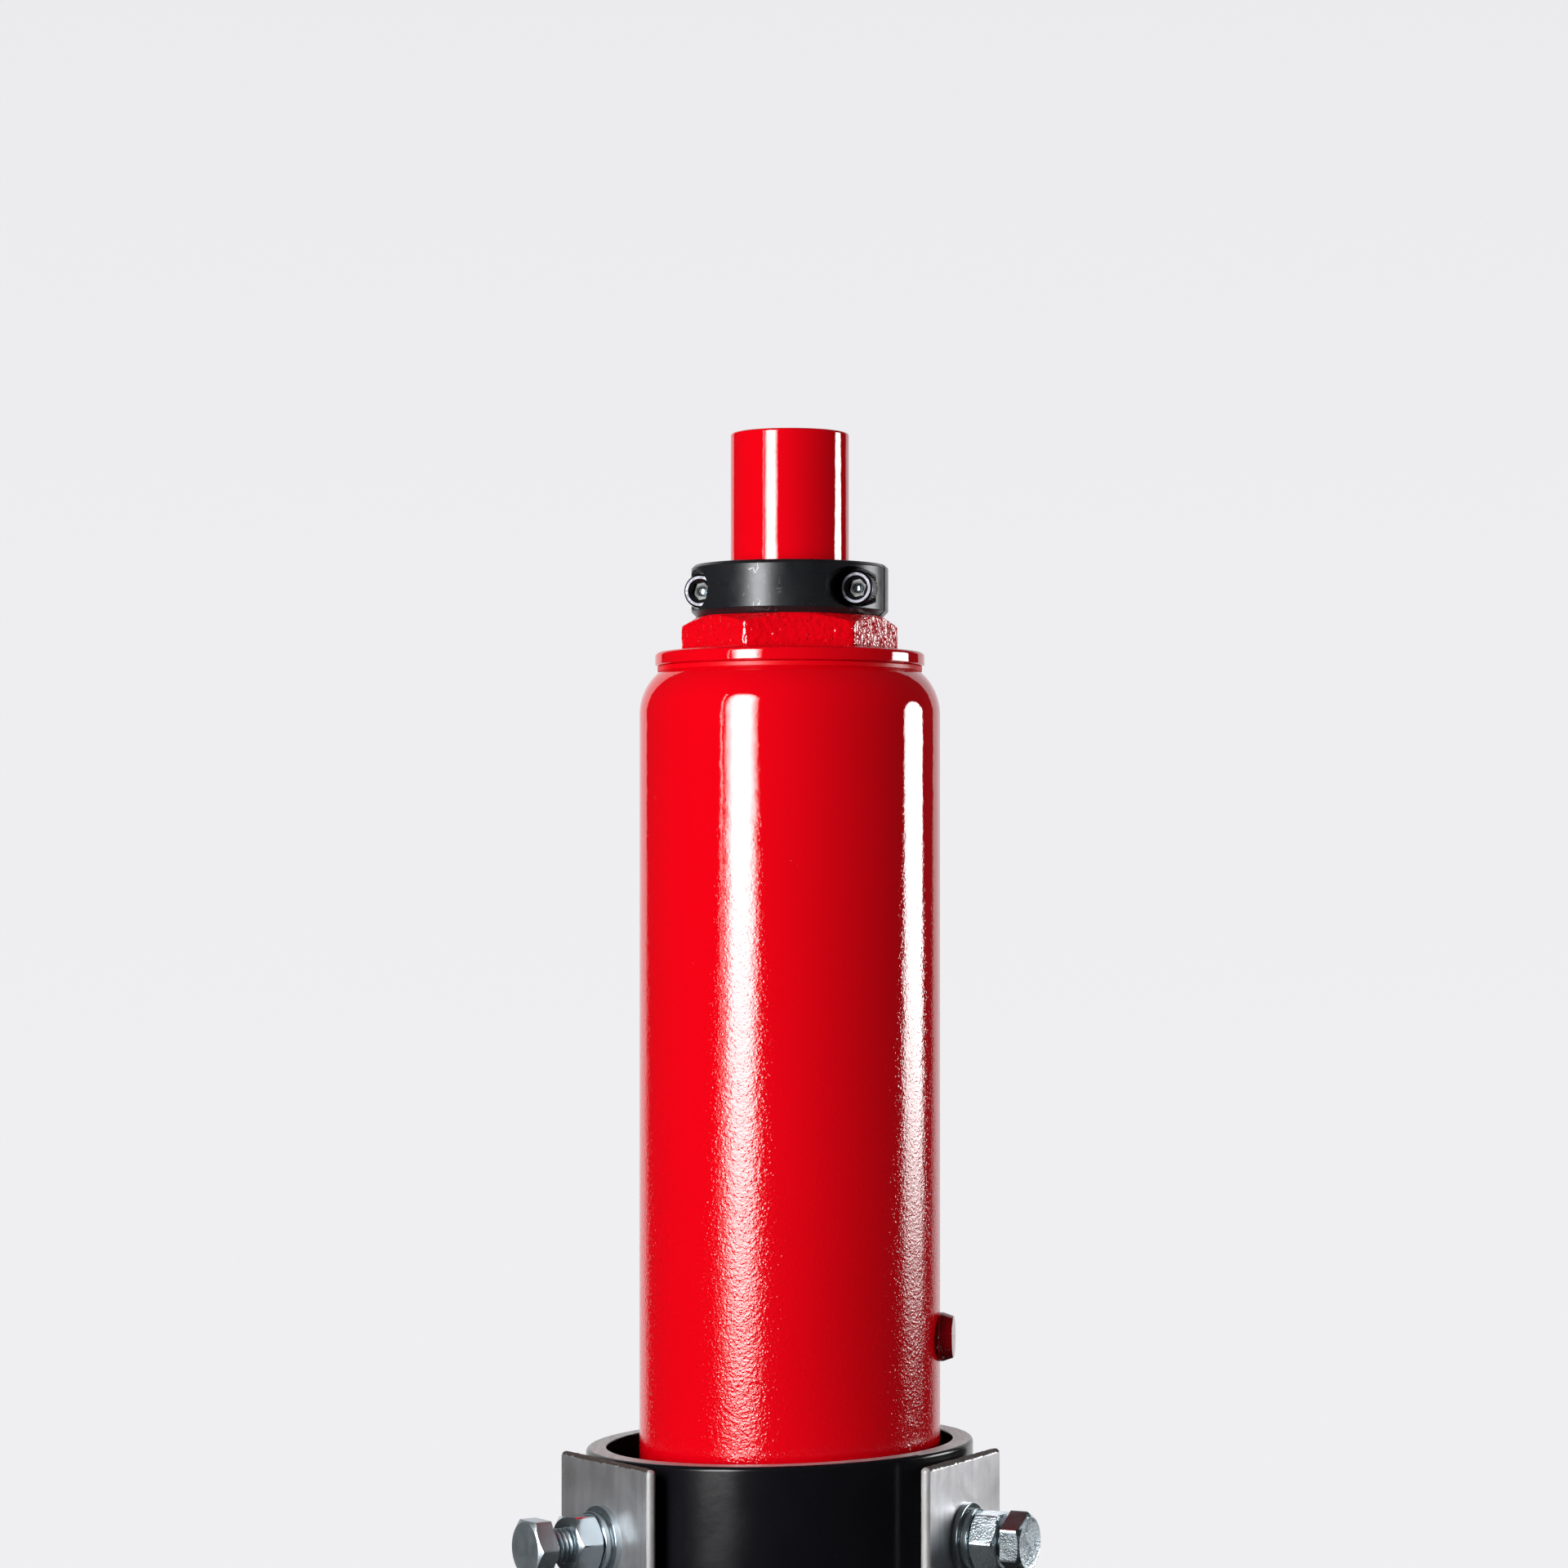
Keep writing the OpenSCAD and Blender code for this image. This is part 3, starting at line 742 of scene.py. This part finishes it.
def make_bracket_weld(side):
    """Two rippled beads in the wedges between a bracket and the tube."""
    node = f"bracket_weld_{side}"
    face = station_span(f"bracket_{side}", side)[0]
    lo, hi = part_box(node)
    m = station(side)
    inner = 11 * MM
    outer = 17 * MM
    whole = bmesh.new()
    for sign in (-1, 1):
        loops = []
        for k, z in enumerate(spaced(lo.z + 0.2 * MM, hi.z - 0.2 * MM, 0.5 * MM)):
            beat = 0.35 * MM * abs(math.sin(k * 0.75)) + 0.2 * MM
            loop = [(inner, face), (outer - beat, face)]
            bottom = math.sqrt(TUBE_OUT ** 2 - outer ** 2)
            for s in (0.25, 0.5, 0.75):
                loop.append((outer - beat * 0.6 * math.sin(math.pi * s) - beat, face + (bottom - face) * s))
            loop.append((outer - beat, math.sqrt(TUBE_OUT ** 2 - (outer - beat) ** 2)))
            loop.append((inner, math.sqrt(TUBE_OUT ** 2 - inner ** 2)))
            loops.append([(sign * x, z - m.translation.z, out) for x, out in loop])
        part = loft(loops)
        bmesh.ops.recalc_face_normals(part, faces=part.faces)
        mesh = bpy.data.meshes.new("bead")
        part.to_mesh(mesh)
        part.free()
        whole.from_mesh(mesh)
        bpy.data.meshes.remove(mesh)
    finish_piece(f"bracket_bead_{side}", whole, "outer", WELD, m, [node], crease=60)


def make_flat_washer(side):
    node = f"flat_washer_{side}"
    z0, z1 = station_span(node, side)
    bore = BOLT_R + 0.25 * MM
    rim = 10.5 * MM
    corners = [(bore, z0), (rim, z0, 0.12 * MM), (rim, z1, 0.25 * MM), (bore, z1)]
    bm = turned_ring(corners, 0.2 * MM, 160)
    finish_piece(f"plain_washer_{side}", bm, "outer", ZINC, station(side), [node])


def make_spring_washer(side):
    """A split washer, its ends cut on a slope and still a little apart in height."""
    node = f"spring_washer_{side}"
    z0, z1 = station_span(node, side)
    lift = 0.12 * MM
    section = rounded(ring_corners(BOLT_R + 0.15 * MM, 8.95 * MM, z0 + lift, z1 - lift), 0.15 * MM, 3)
    split = math.radians(SPLIT_AT[side])
    gap = math.radians(6)
    columns = 120
    loops = []
    for k in range(columns + 1):
        share = k / columns
        angle = split + gap + (2 * math.pi - 2 * gap) * share
        loop = []
        for r, z in section:
            slope = 0.35 * (z - (z0 + z1) / 2) / r
            a = angle + slope
            loop.append((r * math.cos(a), r * math.sin(a), z + lift * (2 * share - 1)))
        loops.append(loop)
    bm = loft(loops)
    finish_piece(f"split_washer_{side}", bm, "outer", ZINC, station(side), [node])


def hex_rows(z0, z1, apothem, turn, low, high, circle):
    """Rows up the outside of a hexagon whose low and high ends may be chamfered down to circle."""
    tip = 0.12 * MM

    def side_row(z, sign, chamfered, inset):
        def at(angle):
            r = hex_radius(angle, apothem, turn)
            drop = max(0, r - circle) * math.tan(math.radians(30)) if chamfered else 0
            return (r - inset, z + sign * (drop + tip - inset))
        return at

    def end_row(z, chamfered):
        def at(angle):
            r = hex_radius(angle, apothem, turn)
            return (min(r - tip, circle) if chamfered else r - tip, z)
        return at

    rows = [end_row(z0, low), side_row(z0, 1, low, tip), side_row(z0, 1, low, 0)]
    rows += [side_row(z1, -1, high, 0), side_row(z1, -1, high, tip), end_row(z1, high)]
    return rows


def make_lock_nut(side):
    node = f"lock_nut_{side}"
    z0, z1 = station_span(node, side)
    turn = math.radians(NUT_TURN[side])
    rows = hex_rows(z0, z1, BOLT_APOTHEM, turn, True, True, 7.6 * MM)
    mouth = BOLT_R + 0.35 * MM
    rows.append((mouth, z1))
    for z in spaced(z1 - 0.3 * MM, z0 + 0.3 * MM, PITCH / 8):
        rows.append(lambda a, z=z: (thread_radius(a, z, BOLT_HOLE_R, PITCH, THREAD_DEPTH), z))
    rows.append((mouth, z0))
    bm = turned(rows, 144, closed=True)
    # The right nut gets the zinc painted lighter, as painted light.
    material = LIT_GRITTY_ZINC if side == "right" else ZINC
    finish_piece(f"hex_nut_{side}", bm, "outer", material, station(side), [node])


def make_clamp_bolt(side):
    node = f"clamp_bolt_{side}"
    tip, top = station_span(node, side)
    seat = top - 6.4 * MM
    pad_r = 3.4 * MM
    rows = [(pad_r - 0.1 * MM, tip)]

    def thread_row(z):
        nose = pad_r + (z - tip)
        return lambda a: (min(nose, thread_radius(a, z, BOLT_R, PITCH, THREAD_DEPTH)), z)

    rows += [thread_row(z) for z in spaced(tip + 0.05 * MM, seat - 0.25 * MM, PITCH / 8)]
    collar = 7.5 * MM
    rows += [(BOLT_R - THREAD_DEPTH, seat), (collar - 0.1 * MM, seat)]
    rows += [(collar, seat + 0.1 * MM), (collar, seat + 0.3 * MM)]
    turn = math.radians(HEAD_TURN[side])
    rows += hex_rows(seat + 0.3 * MM, top, BOLT_APOTHEM, turn, False, True, 7.55 * MM)
    rows += [(7.0 * MM, top), (6.7 * MM, top - 0.12 * MM), (3 * MM, top - 0.14 * MM)]
    bm = turned(rows, 144)
    # The right bolt's sides get the zinc painted darker, as painted shade, and its end face gets the zinc
    # painted lighter, as painted light.
    material = [SHADED_ZINC, LIT_GRITTY_ZINC] if side == "right" else FORGED_ZINC
    if side == "right":
        paint_faces(bm, lambda c, n: c.z > top - 0.3 * MM, 1)
    finish_piece(f"hex_bolt_{side}", bm, f"bolt_{side}", material, station(side), [node])


def make_thrust_pad(side):
    node = f"thrust_pad_{side}"
    z0, z1 = station_span(node, side)
    corners = [(0.3 * MM, z0), (4 * MM, z0, 0.5 * MM), (4 * MM, z1, 0.3 * MM), (0.3 * MM, z1)]
    section = rounded(corners, 0, 4)
    bm = turned(section, 64)
    finish_piece(f"brass_pad_{side}", bm, f"pad_{side}", BRONZE, station(side), [node])


# ---------------------------------------------------------------- reservoir body

def arc(centre_r, centre_z, radius, start, end, steps):
    """Points of an arc in a section, with its angles in degrees from +R towards +Z."""
    turns = [math.radians(start + (end - start) * k / steps) for k in range(steps + 1)]
    return [(centre_r + radius * math.cos(a), centre_z + radius * math.sin(a)) for a in turns]


def make_shell():
    bore = SHELL_OUT - SHELL_WALL
    centre_r = SHELL_OUT - SHOULDER_R
    inner_r = SHOULDER_R - SHELL_WALL
    centre_z = SHELL_TOP - (inner_r - 0.5 * MM)
    stop = math.degrees(math.asin((SHELL_TOP - centre_z) / SHOULDER_R))
    inner_stop = math.degrees(math.asin((SHELL_TOP - centre_z) / inner_r))
    bands = [PORT_Z + 12 * MM, PLUG_Z - 11 * MM, PLUG_Z + 11 * MM]
    rows = [(bore, SHELL_FOOT), (SHELL_OUT, SHELL_FOOT)]
    rows += [(SHELL_OUT, z) for z in bands]
    rows += arc(centre_r, centre_z, SHOULDER_R, 0, stop, 28)
    rows += arc(centre_r, centre_z, inner_r, inner_stop, 0, 16)
    rows += [(bore, z) for z in bands[::-1]]
    bm = turned(rows, 256, closed=True)
    bmesh.ops.transform(bm, matrix=BODY, verts=bm.verts)
    plug = facing(PLUG_ANGLE, BODY_X, PLUG_Z)
    port = facing(math.pi, BODY_X, PORT_Z)
    past = 5 * MM
    fit = 0.02 * MM
    cutters = [
        cylinder_cutter(PLUG_HOLE_R, bore - past, SHELL_OUT + past, plug),
        cylinder_cutter(PLUG_HEAD_R + fit, SHELL_OUT - 0.8 * MM, SHELL_OUT + past, plug),
        cylinder_cutter(PORT_BOSS_R + fit, bore - 8 * MM, SHELL_OUT + past, port),
    ]
    bm = carve(bm, cutters)
    finish_piece("shell_enamelled", bm, "stage", ENAMEL, nodes=["reservoir_shell"])


def make_gland_nut():
    apothem = 28 * MM
    circle = 27.7 * MM
    flange_edge = 1.2 * MM
    rough = 0.16 * MM
    wiper_seat = radii("wiper_ring", BODY_X)[1] + 0.05 * MM
    wiper_z = heights("wiper_ring")[0]
    tube_out = radii("pressure_tube", BODY_X)[1]
    tube_seat = tube_out + 0.02 * MM
    tube_top = heights("pressure_tube")[1]
    boss_r = 31 * MM
    bore_r = 23 * MM
    rod_gap = RAM_R + 0.5 * MM
    groove_room = 0.45 * MM
    groove_low, groove_top = heights("upper_oring")
    groove_r = tube_out + 2.2 * MM

    def hex_at(angle):
        return hex_radius(angle, apothem, HEX_TURN, 70)

    def lump(angle, z):
        place = Vector((math.cos(angle), math.sin(angle), z * 28)) * 19
        return rough * (noise.noise(place) + 0.5 * noise.noise(place * 2.7))

    def top_of(angle):
        return GLAND_TOP - max(0, hex_at(angle) - circle) * math.tan(math.radians(30))

    def fillet_row(share):
        def at(angle):
            r = hex_at(angle)
            spread = 1.5 * MM * (1 - math.sin(share * math.pi / 2))
            return (r + spread, HEX_Z + 1.5 * MM * (1 - math.cos(share * math.pi / 2)))
        return at

    def wall_row(share):
        def at(angle):
            low = HEX_Z + 1.6 * MM
            z = low + (top_of(angle) - 0.3 * MM - low) * share
            return (hex_at(angle) + lump(angle, z), z)
        return at

    def crown_row(share):
        def at(angle):
            r = hex_at(angle) - 0.3 * MM
            edge = top_of(angle)
            inner = min(r, circle)
            z = edge + (GLAND_TOP - edge) * share
            here = r + (inner - r) * share
            return (here + 0.5 * lump(angle, z), z - 0.3 * abs(lump(angle, z)))
        return at

    lower = rounded([
        (tube_seat, BOSS_Z, 0.3 * MM),
        (boss_r, BOSS_Z, 0.8 * MM),
        (boss_r, FLANGE_Z, 0.3 * MM),
        (FLANGE_R, FLANGE_Z, 0.6 * MM),
        (FLANGE_R, HEX_Z, flange_edge),
        (34.2 * MM, HEX_Z, 0),
        (33 * MM, HEX_Z, 0),
    ], 0, 5)
    rows = [tuple(p) for p in lower[:-1]]
    rows += [fillet_row(k / 5) for k in range(6)]
    rows += [wall_row(k / 16) for k in range(17)]
    rows += [crown_row(k / 5) for k in range(6)]
    rows += [
        (wiper_seat + 0.45 * MM, GLAND_TOP),
        (wiper_seat, GLAND_TOP - 0.4 * MM),
        (wiper_seat, wiper_z),
        (rod_gap, wiper_z),
        (rod_gap, HEX_Z - 0.5 * MM),
        (bore_r, HEX_Z - 0.5 * MM),
        (bore_r, tube_top),
        (tube_seat, tube_top),
        (tube_seat, groove_top + groove_room),
        (groove_r, groove_top + groove_room),
        (groove_r, groove_low - groove_room),
        (tube_seat, groove_low - groove_room),
    ]
    bm = turned(rows, 360, closed=True)
    paint_faces(bm, lambda c, n: c.z > HEX_Z + 0.2 * MM, 1)
    finish_piece("gland_nut_enamelled", bm, "stage", [ENAMEL, CAST], BODY, ["gland_nut"], 40)


def make_gasket():
    z0, z1 = heights("cap_gasket")
    inner = radii("cap_gasket", BODY_X)[0]
    bm = turned_ring(ring_corners(inner, GASKET_R, z0, z1), 0.45 * MM, 192)
    finish_piece("cap_gasket_painted", bm, "stage", DULL, BODY, ["cap_gasket"])


def make_filler_plug():
    m = facing(PLUG_ANGLE, BODY_X, PLUG_Z)
    inner, top = span("filler_plug", m)
    face = SHELL_OUT + 0.7 * MM
    core = 0.4 * MM
    pin = PLUG_HOLE_R - 0.05 * MM
    corners = [
        (core, inner),
        (5.4 * MM, inner),
        (pin, inner + 1.5 * MM),
        (pin, face, 0.1 * MM),
        (PLUG_HEAD_R, face, 0.05 * MM),
        (PLUG_HEAD_R, face + 0.5 * MM, 0.12 * MM),
        (6.15 * MM, top, 0.25 * MM),
        (core, top),
    ]
    bm = turned([tuple(p) for p in rounded(corners, 0.2 * MM, 4)], 96)
    finish_piece("filler_plug_painted", bm, "stage", PLUG_PAINTED_SHADE, m, ["filler_plug"])
    z0, z1 = span("plug_seat", m)
    bm = turned_ring(ring_corners(PLUG_HOLE_R, PLUG_HEAD_R, z0, z1), 0.1 * MM, 96)
    finish_piece("plug_seat_painted", bm, "stage", ENAMEL, m, ["plug_seat"])


def make_check_spring():
    """A true helix of spring wire in the check valve."""
    z0, z1 = heights("check_spring")
    wire = 0.5 * MM
    centre_r = radii("check_spring", BODY_X)[1] - wire
    turns = 4
    steps = 40 * turns
    section = spaced(0, 2 * math.pi, 0.7)[:-1]
    loops = []
    for k in range(steps + 1):
        share = k / steps
        angle = 2 * math.pi * turns * share
        out = Vector((math.cos(angle), math.sin(angle), 0))
        centre = out * centre_r + UP * (z0 + wire + (z1 - z0 - 2 * wire) * share)
        loops.append([centre + (out * math.cos(a) + UP * math.sin(a)) * wire for a in section])
    bm = loft(loops)
    finish_piece("check_spring_coil", bm, "stage", WIRE, BODY, ["check_spring"], 60)


# ---------------------------------------------------------------- ram and collar

def make_ram():
    relief_z = COLLAR_TOP - 2 * MM
    relief_r = RAM_R - 1 * MM
    spigot = 8 * MM
    rows = [(spigot - 0.8 * MM, RAM_FOOT), (spigot, RAM_FOOT + 0.8 * MM), (spigot, PISTON_TOP)]
    rows += [(ROD_R - 0.6 * MM, PISTON_TOP), (ROD_R, PISTON_TOP + 0.6 * MM)]
    rows += [(ROD_R, relief_z), (relief_r, relief_z), (relief_r, COLLAR_TOP), (RAM_R, COLLAR_TOP)]
    edge = 0.8 * MM
    rows += arc(RAM_R - edge, RAM_TOP - edge, edge, 0, 90, 6)
    rows += [(12 * MM, RAM_TOP)]
    bm = turned(rows, 192)
    paint_faces(bm, lambda c, n: c.z < COLLAR_TOP - 1 * MM, 1)
    finish_piece("ram_rod_finished", bm, "ram", [ENAMEL, CHROME], BODY, ["ram_rod"])


def collar_frame():
    """The collar's own frame: +Z out of the front half, +Y up, the origin at mid-height."""
    return facing(COLLAR_TURN, BODY_X, (COLLAR_Z + COLLAR_TOP) / 2)


def make_collar(front):
    """One half of the stop collar, cut from a turned ring, with its screws' seats."""
    half = (COLLAR_TOP - COLLAR_Z) / 2
    low_edge = 1.7 * MM
    top_edge = 1.0 * MM
    bore = ROD_R + 0.02 * MM
    corners = [
        (bore, -half, 0.3 * MM),
        (COLLAR_R - low_edge, -half, 0.5 * MM),
        (COLLAR_R, low_edge - half, 0.6 * MM),
        (COLLAR_R, half - top_edge, 0.5 * MM),
        (COLLAR_R - top_edge, half, 0.5 * MM),
        (bore, half, 0.3 * MM),
    ]
    bm = turned_ring(corners, 0, 288, 3)
    stand = Matrix.Rotation(math.radians(-90), 4, "X")
    bmesh.ops.transform(bm, matrix=stand, verts=bm.verts)
    sign = 1 if front else -1
    whole = bm.verts[:] + bm.edges[:] + bm.faces[:]
    cut = bmesh.ops.bisect_plane(
        bm, geom=whole, plane_co=(0, 0, sign * COLLAR_GAP / 2), plane_no=(0, 0, sign), clear_inner=True)
    rim = [e for e in cut["geom_cut"] if isinstance(e, bmesh.types.BMEdge)]
    bmesh.ops.holes_fill(bm, edges=rim, sides=0)
    cutters = []
    for x in (-SCREW_AT, SCREW_AT):
        at = Matrix.Translation((x, 0, 0))
        if front:
            cutters.append(cylinder_cutter(SCREW_R + 0.3 * MM, -1 * MM, COLLAR_R, at, 64))
            cutters.append(cylinder_cutter(6 * MM, SCREW_SEAT, COLLAR_R + 2 * MM, at, 96))
        else:
            cutters.append(cylinder_cutter(SCREW_R + 0.02 * MM, -13 * MM, 1 * MM, at, 64))
    bm = carve(bm, cutters)
    name = "front" if front else "rear"
    finish_piece(
        f"collar_half_{name}", bm, "ram", OXIDE, collar_frame(), [f"collar_{name}"], 28)


def make_collar_screw(side):
    """A socket head cap screw with a knurled head, a worn face and a drilled hexagon socket."""
    node = f"collar_screw_{side}"
    m = collar_frame() @ Matrix.Translation(((-SCREW_AT if side == "left" else SCREW_AT), 0, 0))
    end, top = span(node, m)
    head = 5 * MM
    knurls = 36
    knurl_depth = 0.22 * MM
    pitch = 1.0 * MM
    key_half = 2.5 * MM
    mouth = 3.5 * MM

    def thread_row(z):
        nose = 2.3 * MM + (z - end)
        return lambda a: (min(nose, thread_radius(a, z, SCREW_R, pitch, 0.55 * MM)), z)

    def knurl_row(z):
        return lambda a: (head - knurl_depth * (0.5 + 0.5 * math.cos(knurls * a)), z)

    def socket_row(share, z):
        def at(angle):
            r = hex_radius(angle, key_half, math.radians(12), 60)
            return (r + (mouth - r) * share, z)
        return at

    rows = [(2.2 * MM, end)]
    rows += [thread_row(z) for z in spaced(end + 0.1 * MM, SCREW_SEAT - 0.3 * MM, pitch / 6)]
    rows += [(SCREW_R, SCREW_SEAT), (head - 0.25 * MM, SCREW_SEAT), (head, SCREW_SEAT + 0.25 * MM)]
    rows += [(head, SCREW_SEAT + 0.5 * MM), knurl_row(SCREW_SEAT + 0.7 * MM)]
    rows += [knurl_row(top - 1.5 * MM), (head, top - 1.25 * MM), (head, top - 0.75 * MM)]
    face = len(rows) - 1
    rows += [(head - 0.15 * MM, top - 0.35 * MM), (head - 0.6 * MM, top)]
    rows += [(mouth + 0.15 * MM, top), (mouth, top - 0.12 * MM)]
    rows += [socket_row(0.4, top - 0.6 * MM), socket_row(0, top - 1.0 * MM)]
    floor = top - 2.65 * MM
    rows += [socket_row(0, top - 2.6 * MM), (1.6 * MM, floor)]
    dimple = 1.3 * MM
    depth = 0.5 * MM
    rows += [(dimple * math.cos(a), floor - depth * math.sin(a)) for a in spaced(0.2, 1.45, 0.16)]
    bm = turned(rows, 216)
    bm.normal_update()
    paint_faces(bm, lambda c, n: c.z > rows[face][1] and math.hypot(c.x, c.y) > mouth, 1)
    below = floor - 0.01 * MM
    paint_faces(bm, lambda c, n: SCREW_SEAT < c.z < below and math.hypot(c.x, c.y) < dimple, 2)
    finish_piece(f"cap_screw_{side}", bm, "ram", [SOCKET, BRIGHT, ZINC], m, [node])


# ---------------------------------------------------------------- assembly

def dress(node, material):
    """Gives a CAD node that stays in view its procedural material."""
    mesh = frame["nodes"][node].data
    mesh.materials.clear()
    mesh.materials.append(material)


make_outer_tube()
make_base_plate()
make_foot_weld()
for clamp in SIDES:
    make_bracket(clamp)
    make_bracket_weld(clamp)
    make_flat_washer(clamp)
    make_spring_washer(clamp)
    make_lock_nut(clamp)
    make_clamp_bolt(clamp)
    make_thrust_pad(clamp)
make_shell()
make_gland_nut()
make_gasket()
make_filler_plug()
make_check_spring()
make_ram()
make_collar(True)
make_collar(False)
make_collar_screw("left")
make_collar_screw("right")
for name in ("stage_base", "pressure_tube", "piston", "piston_nut", "check_ball", "check_retainer"):
    dress(name, STEEL)
for name in ("guide_bush", "wear_ring"):
    dress(name, BRONZE)
for name in ("rod_seal", "wiper_ring", "upper_oring", "lower_oring", "piston_seal"):
    dress(name, RUBBER)


# ---------------------------------------------------------------- camera, stage and light

def make_camera():
    """A level long lens, shifted up so that the object's foot runs out of the frame."""
    data = bpy.data.cameras.new("camera")
    data.lens = 99.4
    data.sensor_width = 36
    data.shift_y = 0.0651
    data.clip_end = 50
    camera = bpy.data.objects.new("camera", data)
    camera.location = (1.33 * MM, -1.28, RIM_Z + 164 * MM)
    camera.rotation_euler = (math.radians(90), 0, 0)
    bpy.context.scene.collection.objects.link(camera)
    bpy.context.scene.camera = camera


def stage_sheet(name, rows, paint, camera=True, bounce=False):
    """A sheet of the studio: seen by the camera, or by the light that the object reflects, or by both."""
    bm = bmesh.new()
    made = [[bm.verts.new(p) for p in row] for row in rows]
    for a, b in zip(made, made[1:]):
        bm.faces.new((a[0], a[1], b[1], b[0]))
    mesh = bpy.data.meshes.new(name)
    bm.to_mesh(mesh)
    bm.free()
    mesh.shade_smooth()
    mesh.materials.append(paint.material)
    sheet = bpy.data.objects.new(name, mesh)
    bpy.context.scene.collection.objects.link(sheet)
    sheet.visible_camera = camera
    sheet.visible_glossy = bounce
    sheet.visible_diffuse = bounce


def make_sweep():
    """A pale floor that curves up into a pale wall, and the part of the wall that the object mirrors."""
    half = 8.0
    wall_y = 5.0
    radius = 0.6
    profile = [(-half, 0.0), (wall_y - radius, 0.0)]
    for a in range(5, 91, 5):
        turn = math.radians(a)
        profile.append((wall_y - radius + radius * math.sin(turn), radius - radius * math.cos(turn)))
    profile.append((wall_y, 6.0))
    p = Paint("pale_paper")
    glow = p.spread(p.part(1), 0.35, 1.0)
    # The wall's glow is painted a little darker towards the top, as a painted fall-off of light.
    painted_glow_falloff = p.mix(p.spread(p.part(2), -0.28, 2.58), (0.87, 0.87, 0.885), (0.82, 0.805, 0.83))
    paper = p.mix(glow, (0.76, 0.76, 0.77), (0.0, 0.0, 0.0))
    p.set(Base_Color=paper, Roughness=0.9, Specular_IOR_Level=0.0)
    p.set(Emission_Color=painted_glow_falloff, Emission_Strength=glow)
    stage_sheet("sweep", [[(-half, y, z), (half, y, z)] for y, z in profile], p)
    lit_half = 1.1
    lit_y = 1.35
    p = Paint("lit_wall")
    p.set(Base_Color=(0.0, 0.0, 0.0), Emission_Color=(0.84, 0.83, 0.85), Emission_Strength=1.0)
    rows = [[(-lit_half, lit_y, z), (lit_half, lit_y, z)] for z in (-0.4, 2.0)]
    stage_sheet("lit_wall", rows, p, camera=False, bounce=True)


def make_panel(name, azimuth, distance, width, low, high, radiance, fade, dim, soft):
    """A soft box that stands upright, azimuth degrees from the front towards +X, and faces the object.

    It fades to the share dim of its light down to the height low, from the height fade. Its top is round,
    and its light also falls off over the share soft of its width at each side.
    """
    m = facing(math.radians(azimuth))
    rows = [[m @ Vector((x, z, distance)) for x in (-width / 2, width / 2)] for z in (low, high)]
    p = Paint(name)
    node = p.put(p.nodes.new("ShaderNodeVectorMath"), {0: p.place, 1: m.to_3x3().col[0]})
    node.operation = "DOT_PRODUCT"
    across = p.math("ABSOLUTE", node.outputs["Value"])
    over = p.spread(p.part(2), high - width / 2, high, 0.0, width / 2)
    square = p.math("ADD", p.math("POWER", across, 2), p.math("POWER", over, 2))
    sides = p.spread(p.math("SQRT", square, 0), width / 2, width * (0.5 - soft))
    down = p.spread(p.part(2), low, fade, dim, 1.0)
    strength = p.math("MULTIPLY", p.math("MULTIPLY", sides, down), radiance)
    p.set(Base_Color=(0.0, 0.0, 0.0), Emission_Color=(1.0, 1.0, 1.0), Emission_Strength=strength)
    stage_sheet(name, rows, p, camera=False, bounce=True)


def make_light():
    """A wide and a narrow soft box at the left, one at the right that fades downwards, and a dim world."""
    make_panel("key_left", azimuth=-36.6, distance=1.35, width=0.66, low=0.05, high=1.25,
               radiance=20, fade=0.33, dim=0.25, soft=0.26)
    make_panel("edge_left", azimuth=-52.4, distance=1.35, width=0.05, low=0.05, high=1.2,
               radiance=6, fade=0.33, dim=0.25, soft=0.3)
    make_panel("rim_right", azimuth=108, distance=1.2, width=0.54, low=0.12, high=0.72,
               radiance=13, fade=0.30, dim=0.02, soft=0.08)
    world = bpy.data.worlds.new("studio")
    world.use_nodes = True
    background = world.node_tree.nodes["Background"]
    background.inputs["Color"].default_value = (0.62, 0.62, 0.64, 1)
    background.inputs["Strength"].default_value = 0.04
    bpy.context.scene.world = world


make_camera()
make_sweep()
make_light()
bpy.context.scene.view_settings.view_transform = "Standard"
